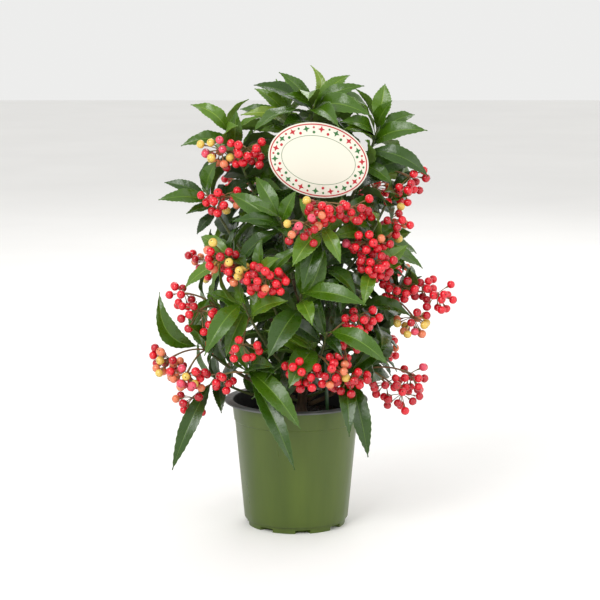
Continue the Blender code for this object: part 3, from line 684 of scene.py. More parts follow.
# %% The pot and its peat, turned
def turned(profile, sides):
    """A closed solid of revolution from (radius, height) points, bottom centre to top centre."""
    verts, faces, rings = [], [], []
    for radius, height in profile:
        if radius == 0:
            rings.append([len(verts)])
            verts.append(Vector((0, 0, height)))
            continue
        rings.append(list(range(len(verts), len(verts) + sides)))
        for k in range(sides):
            angle = 2 * math.pi * (k + 0.5) / sides
            verts.append(Vector((radius * math.cos(angle), radius * math.sin(angle), height)))
    for low, high in zip(rings, rings[1:]):
        for k in range(sides):
            a, b = low[k % len(low)], low[(k + 1) % len(low)]
            c, d = high[(k + 1) % len(high)], high[k % len(high)]
            faces.append(tuple(dict.fromkeys((a, b, c, d))))
    return verts, faces


def pot_profile():
    """The pot's section: up the outside, over the rim and down the inside."""
    return [(0, 0), (BASE_RADIUS, 0), (FOOT_RADIUS, FOOT_HEIGHT),
            (WALL_FOOT_RADIUS, FOOT_HEIGHT + 0.6), (WALL_TOP_RADIUS, COLLAR_HEIGHT - 0.8),
            (COLLAR_RADIUS, COLLAR_HEIGHT),
            (NECK_RADIUS, POT_HEIGHT - RIM_THICK), (RIM_RADIUS, POT_HEIGHT - RIM_THICK),
            (RIM_RADIUS, POT_HEIGHT), (NECK_RADIUS - WALL, POT_HEIGHT),
            (WALL_TOP_RADIUS - WALL, COLLAR_HEIGHT - 1),
            (WALL_FOOT_RADIUS - WALL, FOOT_HEIGHT + 1.2), (BASE_RADIUS - WALL, FLOOR), (0, FLOOR)]


def soil_profile():
    """Peat that fills the pot, a gap clear of its inside."""
    foot = FLOOR + GAP
    return [(0, foot), (BASE_RADIUS - WALL - GAP, foot),
            (WALL_FOOT_RADIUS - WALL - 0.6, FOOT_HEIGHT + 2),
            (WALL_TOP_RADIUS - WALL - 0.6, SOIL_TOP), (0, SOIL_TOP)]

# %% The card and its pick
def card_shape(grow=0.0, depth=CARD_THICK):
    """The oval card, upright and facing the front, its right side lower."""
    wide = Vector((math.cos(CARD_TILT), 0, math.sin(CARD_TILT))) * (CARD_HALF_WIDTH + grow)
    tall = Vector((-math.sin(CARD_TILT), 0, math.cos(CARD_TILT))) * (CARD_HALF_HEIGHT + grow)
    verts = []
    for y in (0, -depth):
        for k in range(CARD_SIDES):
            angle = 2 * math.pi * k / CARD_SIDES
            verts.append(CARD_CENTRE + wide * math.cos(angle) + tall * math.sin(angle)
                         + Vector((0, y, 0)))
    n = CARD_SIDES
    faces = [(k, (k + 1) % n, n + (k + 1) % n, n + k) for k in range(n)]
    return verts, faces + [tuple(range(n - 1, -1, -1)), tuple(range(n, 2 * n))]


def pick_shape(grow=0.0):
    """The pick behind the card, down into the soil."""
    top = CARD_CENTRE + Vector((0, GAP + PICK_RADIUS, 12))
    foot = Vector((*PICK_FOOT, SOIL_TOP - PICK_DEPTH))
    knee = Vector((top.x, top.y, CARD_CENTRE.z - CARD_HALF_HEIGHT))
    points = [top, knee, mix(knee, foot, 0.5), foot + UP * 12, foot]
    radii = [PICK_RADIUS, PICK_RADIUS, PICK_RADIUS, PICK_RADIUS, 0.5]
    return tube(points, [radius + grow for radius in radii], 6)

# %% [markdown]
# ## Growing the plant
# The order matters, because whatever comes first has the space: limbs, the things that don't
# grow, umbel stalks, the leaves that stand out, berries, and then the other leaves.

# %% Growing the plant as the CAD source does
stations = trunk_stations()
limbs["trunk"] = tube([trunk_at(z) for z, _ in stations], [r for _, r in stations],
                      TRUNK_SIDES, level=True)
ways = {shoot.name: grow_limb(shoot) for shoot in SHOOTS}
for name, shape in limbs.items():
    space.add(name, shape)
for name, (solid, stem, heading) in ways.items():
    space.add(name, solid)
space.add("pot", turned(pot_profile(), POT_SIDES))
space.add("soil", turned(soil_profile(), POT_SIDES))
space.add("card", card_shape(grow=0.5))
space.add("pick", pick_shape(grow=0.3))

umbels = []
for shoot in SHOOTS:
    for index, (*hub, count) in enumerate(shoot.umbels):
        root = grow_peduncle(shoot, ways[shoot.name][1], Vector(hub))
        umbels.append((shoot, index, root, Vector(hub), count, set()))
for shoot in SHOOTS:
    grow_key_leaves(shoot, *ways[shoot.name][1:])
space.add("sight", card_shape(grow=-4, depth=SIGHT_LENGTH))
for shoot, index, root, hub, count, taken in umbels:
    grow_umbel(shoot, index, root, hub, count, BERRY_SHARE, taken)
for shoot in SHOOTS:
    grow_rule_leaves(shoot, *ways[shoot.name][1:], shoot.more)
print(len(leaves), "leaves and", len(berries), "berries, as in the CAD model")

# %% [markdown]
# ## Filling the crown
# The CAD model keeps a fifth of the berries and two fifths of the leaves, to stay light. The
# same rule now sets the rest, inside the same reach: the full umbels, more berries in their gaps,
# more leaves near the shoots' tips, and older ones deeper in the crown.

# %% The rest of the berries and leaves
for shoot, index, root, hub, count, taken in umbels:
    grow_umbel(shoot, index, root, hub, count, 1.0, taken)
for shoot, index, root, hub, count, taken in umbels:
    crowd_umbel(shoot, index, root, hub, count)
for shoot in SHOOTS:
    grow_rule_leaves(shoot, *ways[shoot.name][1:], 5, first=0.15, seed="more leaves")
for shoot in SHOOTS:
    grow_rule_leaves(shoot, *ways[shoot.name][1:], 6, first=0.5, seed="inner leaves", top=INNER_TOP)
print(len(leaves), "leaves and", len(berries), "berries in all")

# %% [markdown]
# ## Helpers for meshes and materials
# Colours are written as sRGB hex, the way a colour picker shows them, and turned to linear light
# once. A `Batch` gathers many small shapes into one mesh with a few material slots.

# %% Colours, nodes and objects
def colour(text):
    """An sRGB hex colour as the linear colour that Blender's sockets take."""
    parts = [int(text[i:i + 2], 16) / 255 for i in (1, 3, 5)]
    return (*[p / 12.92 if p <= 0.04045 else ((p + 0.055) / 1.055) ** 2.4 for p in parts], 1)


def add(tree, kind, links=(), **settings):
    """Add a node, set its properties or inputs by name, and link its inputs to outputs."""
    node = tree.nodes.new(kind)
    for key, value in settings.items():
        if hasattr(node, key):
            setattr(node, key, value)
        else:
            node.inputs[key.replace("_", " ")].default_value = value
    for socket, source in links:
        tree.links.new(source, node.inputs[socket])
    return node


def put(name, data):
    """A new object in the scene, at the origin."""
    made = bpy.data.objects.new(name, data)
    bpy.context.scene.collection.objects.link(made)
    return made


# %% [markdown]
# Every finish has noise of a real size in its gloss and its relief, and some have it in their
# colour too. Uniform values go straight into the shader's own sockets.

# %% Surfaces
PATCH_EDGES = (0.32, 0.68)      # part of the noise over which one colour turns into the next
BUMP_SHARE = 0.2                # height of a bump, for its size


def surface(name, base, rough, grain, relief, patches=None, stretch=(1, 1, 1), **shader_values):
    """A natural surface: grain and relief are (size in mm, strength) of its roughness and bump.

    base is one hex colour, or several that patches of the given size in mm run through.
    """
    made = bpy.data.materials.new(name)
    made.use_nodes = True
    tree = made.node_tree
    shader = tree.nodes["Principled BSDF"]
    for socket, value in shader_values.items():
        shader.inputs[socket.replace("_", " ")].default_value = value
    place = add(tree, "ShaderNodeTexCoord").outputs["Object"]
    if stretch != (1, 1, 1):
        place = add(tree, "ShaderNodeMapping", [("Vector", place)], Scale=stretch).outputs["Vector"]
    if patches:
        spots = add(tree, "ShaderNodeTexNoise", [("Vector", place)], Scale=1 / (patches * MM),
                    Detail=5.0, Roughness=0.6)
        ramp = add(tree, "ShaderNodeValToRGB", [("Fac", spots.outputs["Fac"])])
        stops = ramp.color_ramp.elements
        stops[0].position, stops[1].position = PATCH_EDGES
        stops[0].color, stops[1].color = colour(base[0]), colour(base[-1])
        for i, text in enumerate(base[1:-1]):
            stops.new(mix(*PATCH_EDGES, (i + 1) / (len(base) - 1))).color = colour(text)
        tree.links.new(ramp.outputs["Color"], shader.inputs["Base Color"])
    else:
        shader.inputs["Base Color"].default_value = colour(base)
    sheen = add(tree, "ShaderNodeTexNoise", [("Vector", place)], Scale=1 / (grain[0] * MM),
                Detail=3.0)
    spread = add(tree, "ShaderNodeMapRange", [("Value", sheen.outputs["Fac"])],
                 From_Min=0.3, From_Max=0.7, To_Min=rough - grain[1], To_Max=rough + grain[1])
    tree.links.new(spread.outputs["Result"], shader.inputs["Roughness"])
    bumps = add(tree, "ShaderNodeTexNoise", [("Vector", place)], Scale=1 / (relief[0] * MM),
                Detail=4.0)
    bump = add(tree, "ShaderNodeBump", [("Height", bumps.outputs["Fac"])], Strength=relief[1],
               Distance=relief[0] * MM * BUMP_SHARE)
    tree.links.new(bump.outputs["Normal"], shader.inputs["Normal"])
    return made


# %% [markdown]
# Hundreds of leaves as hundreds of objects would be slow. A batch puts them into one mesh. That
# is a piece of the model: it rides on the only body, `root`, and takes the place of CAD nodes.

# %% Batches
class Batch:
    """Many small shapes that become one mesh."""

    def __init__(self):
        self.verts, self.faces, self.slots = [], [], []

    def add(self, shape, slot=0):
        verts, faces = shape
        first = len(self.verts)
        self.verts += verts
        self.faces += [tuple(first + i for i in face) for face in faces]
        self.slots += [slot] * len(faces) if isinstance(slot, int) else list(slot)

    def make(self, name, finishes, record_slot, replaced, smooth=True):
        """The mesh as a piece of the scene, with what it rides on and stands for."""
        mesh = bpy.data.meshes.new(name)
        mesh.from_pydata([v * MM for v in self.verts], [], self.faces)
        for finish in finishes:
            mesh.materials.append(finish)
        mesh.polygons.foreach_set("material_index", self.slots)
        shell = bmesh.new()
        shell.from_mesh(mesh)
        bmesh.ops.recalc_face_normals(shell, faces=shell.faces)
        shell.to_mesh(mesh)
        shell.free()
        mesh.polygons.foreach_set("use_smooth", [smooth] * len(mesh.polygons))
        piece = put(name, mesh)
        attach(piece, "root")
        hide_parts(*replaced)
        mesh.calc_loop_triangles()
        print(f"{name}: {len(mesh.loop_triangles)} triangles")
        return piece


# %% [markdown]
# ## Bark
# Young ardisia stems are smooth, brown over green, with faint rings where leaves have dropped.
# A fine tube along the same curve gets those rings and a little knobbly relief as real geometry.

# %% A barked limb
BARK_STEP = 2.2                         # length of the tube's sections, in mm
RING_RISE, RING_HALF = 0.16, 1.3        # height and half-width of a leaf scar's ring, in mm
KNOBS = ((0.35, 0.22), (0.9, 0.1))      # fineness and height of the bark's knobs, in mm
FULL_RELIEF = 3                         # limbs thinner than this radius have less relief


def barked(point_at, radius_at, length, sides, level=False, ring=9.0):
    """A fine tube with leaf-scar rings and relief in its surface."""
    steps = max(6, int(length / BARK_STEP))
    points = [point_at(i / steps) for i in range(steps + 1)]
    radii = [radius_at(i / steps) for i in range(steps + 1)]
    verts, faces = tube(points, radii, sides, level)
    for i in range(steps + 1):
        along = i / steps * length
        swell = RING_RISE * max(0, 1 - abs((along % ring) - ring / 2) / RING_HALF)
        for k in range(sides):
            v = verts[i * sides + k]
            away = (v - points[i]).normalized()
            knob = sum(noise.noise(v * fineness) * height for fineness, height in KNOBS)
            if 0 < i < steps:
                verts[i * sides + k] = v + away * (swell + knob) * min(1, radii[i] / FULL_RELIEF)
    return verts, faces


# %% Trunk and boughs
# Young bark, which gives a dull surface with long streaks: the noise is stretched up the trunk.
bark = surface("young_bark", ("#3a2a1a", "#5a4630", "#6b5a3c"), 0.72, (4, 0.1), (1.5, 0.5),
               patches=9, stretch=(1, 1, 0.35))


def trunk_height(t):
    """Heights up the trunk, closer together at its flared foot."""
    return mix(TRUNK_FOOT.z, TRUNK_TIP.z, t ** 1.2)


wood = Batch()
wood.add(barked(lambda t: trunk_at(trunk_height(t)), lambda t: trunk_radius(trunk_height(t)),
                TRUNK_TIP.z - TRUNK_FOOT.z, 20, level=True, ring=14))
for shoot, curve, start in stems:
    if shoot.bough:
        wood.add(barked(lambda t: bezier(*curve, BOUGH_SHARE * t),
                        lambda t: mix(BOUGH_RADIUS, STEM_RADIUS, t),
                        (curve[2] - curve[0]).length * BOUGH_SHARE, 12))
wooden = [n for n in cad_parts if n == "trunk" or n.startswith("bough_")]
wood.make("trunk_and_boughs", [bark], "bark", wooden)

# %% [markdown]
# ## Twigs and fruit stalks
# The last part of each shoot is green, and the stalks of the fruit are red-brown. A berry's stalk
# is drawn down to 0.4 mm in radius, which is what makes an umbel look light.

# %% Twigs
masses = [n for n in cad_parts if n.startswith("foliage_")]
green_twig = surface("green_twig", ("#4a4a26", "#5d6a34"), 0.5, (3, 0.08), (1.2, 0.3), patches=12)
twigs = Batch()
for shoot, curve, start in stems:
    def along_stem(t):
        return bezier(*curve, mix(start, 1, t))
    twigs.add(barked(along_stem, lambda t: mix(STEM_RADIUS, STEM_TIP_RADIUS, t),
                     (along_stem(1) - along_stem(0)).length, 8, ring=7.0))
twigs.make("twigs", [green_twig], "foliage", masses)

# %% Fruit stalks
STALK_RISE = 0.9                                # how far a berry's stalk bows upward, in mm
STALK_RADII = (0.42, 0.38, 0.4, 0.5, 1.0)       # it widens into the berry's foot
stalk_skin = surface("fruit_stalk", ("#6a4a2a", "#84603a", "#6e6a34"), 0.5, (2, 0.08), (1, 0.25),
                     patches=8)
stalks = Batch()
for root, middle, hub in peduncles:
    points = [bezier(root, middle, hub, i / 8) for i in range(9)]
    points.append(hub + (points[-1] - points[-2]).normalized() * 1.0)
    stalks.add(tube(points, [PEDUNCLE_RADIUS] * 7 + [1.0, HUB_RADIUS, 0.5], 7))
for shoot, index, hub, centre in berries:
    way = (centre - hub).normalized()
    middle = (hub + centre) / 2 + UP * STALK_RISE
    end = centre - way * BERRY_RADIUS * 0.9
    stalks.add(tube([bezier(hub, middle, end, i / 4) for i in range(5)], STALK_RADII, 5))
stalks.make("fruit_stalks", [stalk_skin], "foliage", masses)

# %% [markdown]
# ## Leaves
# A leaf is a closed thin blade: folded a little along its midrib, rounded between midrib and
# margin, and scalloped and waved along its edge, as this species shows. The midrib and the thin
# rim are pale. Colours are dealt out leaf by leaf, so young leaves near the tips are fresher.

# %% The leaf's surface
ACROSS = (-1, -0.955, -0.62, -0.3, -0.035, 0.035, 0.3, 0.62, 0.955, 1)     # shares of half-width
TEETH = 14                  # scallops on each margin, each two sections long
PETIOLE = 0.12              # share of the leaf that is its stalk, with no scallops
PETIOLE_HALF = 0.5          # half-width of that stalk, in mm
RIPPLES, RIPPLE_SHIFT = 3.2, 1.4    # waves along a margin, and how far the two are out of step
PUCKERS, PUCKER_SLANT = 8, 1.1      # folds between side veins, and how they lean forward
PUCKER_RISE = 0.3           # in mm
GROOVE = 0.22               # depth of the midrib's groove on top, in mm
SKIN = 0.16                 # half-thickness of the blade, in mm
KEEL = 0.5                  # the midrib stands out this far below, in mm
FULL_SPREAD = 5             # narrower parts of a blade wave and pucker less, in mm


def blade_lift(s, u, spread, wave, phase, curl):
    """Height of the blade over its midrib, at s along it and u across it."""
    strength = min(1, spread / FULL_SPREAD)
    lift = (VEE * abs(u) ** 1.3 - curl * 0.5 * max(0, abs(u) - 0.5) ** 2) * spread
    shift = RIPPLE_SHIFT if u > 0 else 0
    lift += wave * math.sin(2 * math.pi * RIPPLES * s + phase + shift) * abs(u) ** 2 * strength
    fold = math.sin(2 * math.pi * (PUCKERS * s - PUCKER_SLANT * abs(u)))
    lift += PUCKER_RISE * fold * math.sin(math.pi * abs(u)) * strength
    return lift - GROOVE * strength if abs(u) < 0.1 else lift


def blade_sheets(leaf, rng, steps):
    """The corners of a blade's upper and lower sheets."""
    base, tip, arch, width, sway, facing = leaf
    curve, side = leaf_curve(base, tip, arch, sway, facing)
    half = width * (tip - base).length / 2
    wave, phase = rng.uniform(0.3, 0.9), rng.uniform(0, 6.28)
    curl = rng.uniform(0.1, 0.5)
    tops, lows = [], []
    for i in range(steps + 1):
        s = i / steps
        point = bezier(*curve, s)
        up = side.cross(bezier_tangent(*curve, s)).normalized()
        spread = half * leaf_profile(s)
        scallop = 0.0 if s < PETIOLE or i % 2 == 0 else 0.045 * half + 0.18
        for u in ACROSS:
            reach = max(spread - (scallop if abs(u) > 0.8 else scallop * 0.4), PETIOLE_HALF)
            spot = point + side * reach * u + up * blade_lift(s, u, spread, wave, phase, curl)
            tops.append(spot + up * SKIN)
            lows.append(spot - up * (SKIN if abs(u) > 0.1 else KEEL))
    return tops, lows


# %% The leaf's mesh
BLADE, MIDRIB, RIM, UNDER = range(4)


def fine_leaf(leaf, rng):
    """A leaf's closed blade, with its upper, midrib, rim and lower faces told apart."""
    steps = 2 * TEETH
    tops, lows = blade_sheets(leaf, rng, steps)
    n = len(ACROSS)
    verts = tops + lows
    offset = len(tops)
    faces, slots = [], []
    for i in range(steps):
        for k in range(n - 1):
            a, b = i * n + k, i * n + k + 1
            middle = (ACROSS[k] + ACROSS[k + 1]) / 2
            faces.append((a, b, b + n, a + n))
            above = RIM if abs(middle) > 0.95 else BLADE
            slots.append(MIDRIB if abs(middle) < 0.1 or i < 2 else above)
            faces.append((offset + a, offset + a + n, offset + b + n, offset + b))
            slots.append(UNDER if abs(middle) > 0.1 else MIDRIB)
        for k in (0, n - 1):
            a = i * n + k
            faces.append((a, a + n, offset + a + n, offset + a))
            slots.append(RIM)
    for i in (0, steps):
        row = [i * n + k for k in range(n)]
        for a, b in zip(row, row[1:]):
            faces.append((a, offset + a, offset + b, b))
            slots.append(RIM)
    return (verts, faces), slots


# %% [markdown]
# The finish is a waxy cuticle over a green blade, which gives small lights on a soft sheen. The
# midrib and the rim are paler, and the back is paler and duller. Each tint is one plain colour,
# and the variation comes from dealing the tints out leaf by leaf.

# %% The leaves' finishes
# blade, midrib, rim and underside
TINTS = {
    "deep": ("#1d3605", "#3f5a1c", "#2f4a14", "#40581e"),
    "dark": ("#294705", "#4f6c20", "#3e5e16", "#4a6622"),
    "mid": ("#3b5c08", "#648426", "#4f741c", "#567424"),
    "fresh": ("#507212", "#7f9a34", "#6a8c28", "#6c8a2e"),
    "pale": ("#6c8622", "#9aaa44", "#869c32", "#82983a"),
}


def leaf_finishes(tint):
    blade, midrib, rim, under = TINTS[tint]
    return [
        surface(f"leaf_blade_{tint}", blade, 0.3, (6, 0.08), (2.2, 0.6), Specular_IOR_Level=0.5),
        surface(f"leaf_midrib_{tint}", midrib, 0.42, (4, 0.06), (1.5, 0.3)),
        surface(f"leaf_rim_{tint}", rim, 0.4, (4, 0.06), (1.5, 0.2)),
        surface(f"leaf_underside_{tint}", under, 0.55, (5, 0.07), (1.8, 0.5))]


# %% Dealing out the leaves
YOUNGEST, AGEING = 1.5, 1.6         # freshness of a new leaf, and what it loses with age
MID_HEIGHT, HEIGHT_STEP = 250, 260  # leaves over this height get paler tints and those under it darker ones, by one tint for this step
rng = Random("tints")
sprays = {tint: Batch() for tint in TINTS}
shoot_freshness = {shoot.name: rng.uniform(-0.8, 0.8) for shoot in SHOOTS}
for shoot, age, leaf in leaves:
    freshness = (YOUNGEST - AGEING * age + shoot_freshness[shoot.name] + rng.uniform(-0.9, 0.9)
                 + (leaf[1].z - MID_HEIGHT) / HEIGHT_STEP)
    tint = list(TINTS)[min(max(int(freshness + 1.2), 0), len(TINTS) - 1)]
    sprays[tint].add(*fine_leaf(leaf, rng))
for tint, spray in sprays.items():
    spray.make(f"leaves_{tint}", leaf_finishes(tint), "foliage", masses)

# %% [markdown]
# ## Berries
# Each berry is a smooth ball, a little flattened, with a dark dot at its far end where the flower
# was. Most are bright red. Some umbels still ripen from yellow through salmon and pink.

# %% A berry
BERRY_COLOURS = {"yellow": "#dcbc58", "salmon": "#dc7c54", "pink": "#dc4860", "red": "#d81226",
                 "crimson": "#b80c20"}
UNRIPE = ("yellow", "salmon", "salmon", "pink")     # one of these is drawn for an unripe berry
CRIMSON_FROM = 0.75                                 # the ripest quarter is darker
FEW = 0.05                                          # unripe share of most umbels
# The unripe share of the others, by shoot and umbel
RIPENING = {("left_shoulder", 0): 0.9, ("left_mid", 0): 0.6, ("left_mid", 1): 0.5,
            ("front_left", 0): 0.75, ("far_right", 3): 0.9, ("far_left", 0): 0.7,
            ("far_left", 1): 0.55, ("front_low", 1): 0.45, ("right_high", 0): 0.3,
            ("back_left_mid", 0): 0.5}
SKIN_SLOT, SCAR_SLOT = range(2)


def ball():
    """A fine ball's corners and faces."""
    shell = bmesh.new()
    bmesh.ops.create_icosphere(shell, subdivisions=3, radius=1)
    corners = [v.co.copy() for v in shell.verts]
    faces = [tuple(v.index for v in face.verts) for face in shell.faces]
    shell.free()
    return corners, faces


BALL_CORNERS, BALL_FACES = ball()


def fruit(centre, way, size):
    """A berry a little flattened along its stalk's way, and the scar at its far end."""
    across = side_of(way)
    other = way.cross(across)
    skin = [centre + (across * v.x + other * v.y) * size + way * v.z * size * 0.95
            for v in BALL_CORNERS]
    hexagon = [2 * math.pi * i / 6 for i in range(6)]
    scar = [centre + way * (size * 0.93)
            + (across * math.cos(a) + other * math.sin(a)) * size * 0.16 for a in hexagon]
    scar += [centre + way * (size * 1.04), centre + way * (size * 0.85)]
    cones = [(i, (i + 1) % 6, 6) for i in range(6)] + [((i + 1) % 6, i, 7) for i in range(6)]
    return (skin, BALL_FACES), (scar, cones)


# %% Dealing out the berries
rng = Random("berries")
punnets = {name: Batch() for name in BERRY_COLOURS}
for shoot, index, hub, centre in berries:
    size = BERRY_RADIUS * rng.uniform(0.85, 0.95)
    ripe = rng.random()
    if ripe > RIPENING.get((shoot.name, index), FEW):
        name = "crimson" if ripe > CRIMSON_FROM else "red"
    else:
        name = rng.choice(UNRIPE)
    skin, scar = fruit(centre, (centre - hub).normalized(), size)
    punnets[name].add(skin, SKIN_SLOT)
    punnets[name].add(scar, SCAR_SLOT)

# %% The berries' finishes
# A taut, clear skin over flesh that lets a little light in, and a dry dot.
scar_cork = surface("flower_scar", ("#2a1a10", "#4a3018"), 0.7, (1, 0.05), (0.5, 0.3), patches=1)
for name, punnet in punnets.items():
    skin = surface(f"berry_skin_{name}", BERRY_COLOURS[name], 0.2, (3, 0.05), (2.5, 0.15),
                   Coat_Weight=0.4, Coat_Roughness=0.08, Subsurface_Weight=0.12,
                   Subsurface_Scale=0.002)
    punnet.make(f"berries_{name}", [skin, scar_cork], "foliage", masses)

# %% [markdown]
# ## The pot
# A thin moulded nursery pot in satin olive polypropylene. Its rim is grey and its inside black,
# and drainage notches are cut into its foot. It is one turned profile, much finer than the CAD
# solid, with the notches pressed into its lowest rings.

# %% The pot's shape
POT_STEPS = 160
NOTCH_TURN = math.radians(30) - math.pi / 2     # midway between two notches
NOTCHED_ROWS = (2, 3)                           # of the profile: the foot's edge and just over it
SIDE_SLOT, RIM_SLOT, INSIDE_SLOT = range(3)


def fine_profile():
    """The section up the outside, with a rounded rim, and down the inside, as two lists."""
    under = POT_HEIGHT - RIM_THICK
    outside = [(0, 0), (BASE_RADIUS - NOTCH_DEPTH - 2, 0), (BASE_RADIUS, 0),
               (BASE_RADIUS + 0.25, NOTCH_HEIGHT - 0.3), (BASE_RADIUS + 0.3, NOTCH_HEIGHT),
               (FOOT_RADIUS, FOOT_HEIGHT - 0.3), (WALL_FOOT_RADIUS - 0.3, FOOT_HEIGHT),
               (WALL_FOOT_RADIUS, FOOT_HEIGHT + 0.6)]
    outside += [(mix(WALL_FOOT_RADIUS, WALL_TOP_RADIUS, i / 12),
                 mix(FOOT_HEIGHT + 0.6, COLLAR_HEIGHT - 0.8, i / 12)) for i in range(1, 13)]
    outside += [(COLLAR_RADIUS, COLLAR_HEIGHT),
                (mix(COLLAR_RADIUS, NECK_RADIUS, 0.5), (COLLAR_HEIGHT + under) / 2),
                (NECK_RADIUS, under - 0.6), (NECK_RADIUS + 0.8, under),
                (RIM_RADIUS - 0.7, under), (RIM_RADIUS - 0.15, under + 0.3),
                (RIM_RADIUS, under + 0.9), (RIM_RADIUS - 0.15, POT_HEIGHT - 0.3),
                (RIM_RADIUS - 0.7, POT_HEIGHT)]
    bottom = FLOOR + 0.5 + NOTCH_HEIGHT
    inside = [(NECK_RADIUS - WALL + 0.6, POT_HEIGHT), (NECK_RADIUS - WALL, POT_HEIGHT - 0.6),
              (WALL_TOP_RADIUS - WALL, COLLAR_HEIGHT - 1),
              (WALL_FOOT_RADIUS - WALL, FOOT_HEIGHT + 1.2), (BASE_RADIUS - WALL, bottom),
              (0, bottom)]
    return outside, inside


def press_notches(verts):
    """Push the drainage notches into the foot of the turned pot."""
    pitch = 2 * math.pi / NOTCHES
    deep = (FOOT_RADIUS - NOTCH_DEPTH) / FOOT_RADIUS
    for row in NOTCHED_ROWS:
        for k in range(POT_STEPS):
            angle = 2 * math.pi * (k + 0.5) / POT_STEPS - NOTCH_TURN
            if abs((angle / pitch) % 1 - 0.5) * pitch * FOOT_RADIUS < NOTCH_WIDTH / 2:
                corner = 1 + (row - 1) * POT_STEPS + k
                v = verts[corner]
                verts[corner] = Vector((v.x, v.y, 0)) * deep + UP * v.z


def fine_pot():
    """The pot with a slot for each face: its side, its rim and neck, or its inside."""
    outside, inside = fine_profile()
    verts, faces = turned(outside + inside, POT_STEPS)
    press_notches(verts)
    slots = []
    for face in faces:
        height = sum(verts[i].z for i in face) / len(face)
        if max(face) >= 1 + len(outside) * POT_STEPS and height < POT_HEIGHT - 0.2:
            slots.append(INSIDE_SLOT)
        else:
            slots.append(RIM_SLOT if height > POT_HEIGHT - RIM_THICK - 0.3 else SIDE_SLOT)
    return (verts, faces), slots


# %% [markdown]
# Thin polypropylene is satin, with long faint streaks from the mould: its noise is stretched up
# the pot. The edges of the moulding stay sharp, and everything else is shaded smooth.

# %% The pot
olive = surface("moulded_polypropylene_olive", ("#38490a", "#42540c", "#4c5e12"), 0.36,
                (14, 0.1), (1.2, 0.12), patches=60, stretch=(1, 1, 0.12))
grey_rim = surface("moulded_polypropylene_grey", ("#4a4d4c", "#606361"), 0.5,
                   (5, 0.08), (1.0, 0.2), patches=20)
inside_black = surface("moulded_polypropylene_black", ("#101010", "#191917"), 0.55,
                       (5, 0.08), (1.0, 0.2), patches=15)
pot = Batch()
pot.add(*fine_pot())
pot_piece = pot.make("nursery_pot", [olive, grey_rim, inside_black], "pot_plastic", ["pot"])
pot_piece.data.set_sharp_from_angle(angle=math.radians(35))

# %% [markdown]
# ## Peat
# Potting peat is crumbs on crumbs. The fill is a turned plug with an uneven top, and Geometry
# Nodes scatter crumbs over it, because no hand could place hundreds of them.

# %% The peat
PEAT_RINGS = 16
PEAT_FOOT = FLOOR + GAP + 4     # clear of the pot's floor, which is thick over the notches
PEAT_LEVEL = SOIL_TOP - 0.6     # its top before the clods
CLODS = (0.16, 1.6)             # their fineness, and their height in mm
peat = surface("potting_peat", ("#0d0906", "#1d140d", "#33261a"), 0.92, (2, 0.05), (1.2, 0.9),
               patches=3)


def peat_plug():
    """The fill, with its top ring by ring so that it can be uneven."""
    foot, top = soil_profile()[2][0] - 1, soil_profile()[3][0]
    rows = [(0, PEAT_FOOT), (foot, PEAT_FOOT), (top, SOIL_TOP - 2)]
    rows += [(top * (1 - i / PEAT_RINGS), PEAT_LEVEL) for i in range(PEAT_RINGS)]
    verts, faces = turned(rows + [(0, PEAT_LEVEL)], 64)
    return [v + UP * noise.noise(v * CLODS[0]) * CLODS[1] if v.z > SOIL_TOP - 1 else v
            for v in verts], faces


plug = Batch()
plug.add(peat_plug())
plug.make("peat_fill", [peat], "peat", ["soil"])

# %% [markdown]
# The node group takes a flat disc. It puts points on it, sets a crumb on each point with a size
# and turn of its own, and gives all of them the peat's material.

# %% The crumbs' node group
CRUMB_SMALLEST, CRUMB_LARGEST = (0.4, 0.4, 0.3), (1.7, 1.3, 1.0)    # for the crumb's radius
FULL_TURN = (6.28, 6.28, 6.28)


def crumb_tree():
    """Geometry Nodes: crumbs of random size and turn, scattered over a disc."""
    tree = bpy.data.node_groups.new("crumbs", "GeometryNodeTree")
    tree.interface.new_socket("Geometry", in_out="INPUT", socket_type="NodeSocketGeometry")
    tree.interface.new_socket("Geometry", in_out="OUTPUT", socket_type="NodeSocketGeometry")
    for label, kind, value in (("Density", "NodeSocketFloat", 90000.0),
                               ("Crumb radius", "NodeSocketFloat", 0.0011),
                               ("Seed", "NodeSocketInt", 4),
                               ("Finish", "NodeSocketMaterial", None)):
        socket = tree.interface.new_socket(label, in_out="INPUT", socket_type=kind)
        if value is not None:
            socket.default_value = value
    given = add(tree, "NodeGroupInput")
    points = add(tree, "GeometryNodeDistributePointsOnFaces",
                 [("Mesh", given.outputs["Geometry"]), ("Density", given.outputs["Density"]),
                  ("Seed", given.outputs["Seed"])])
    crumb = add(tree, "GeometryNodeMeshIcoSphere", [("Radius", given.outputs["Crumb radius"])],
                Subdivisions=1)
    turn = add(tree, "FunctionNodeRandomValue", data_type="FLOAT_VECTOR", Max=FULL_TURN)
    size = add(tree, "FunctionNodeRandomValue", data_type="FLOAT_VECTOR", Min=CRUMB_SMALLEST,
               Max=CRUMB_LARGEST)
    spread = add(tree, "GeometryNodeInstanceOnPoints",
                 [("Points", points.outputs["Points"]), ("Instance", crumb.outputs["Mesh"]),
                  ("Rotation", turn.outputs["Value"]), ("Scale", size.outputs["Value"])])
    real = add(tree, "GeometryNodeRealizeInstances", [("Geometry", spread.outputs["Instances"])])
    painted = add(tree, "GeometryNodeSetMaterial",
                  [("Geometry", real.outputs["Geometry"]), ("Material", given.outputs["Finish"])])
    add(tree, "NodeGroupOutput", [("Geometry", painted.outputs["Geometry"])])
    return tree


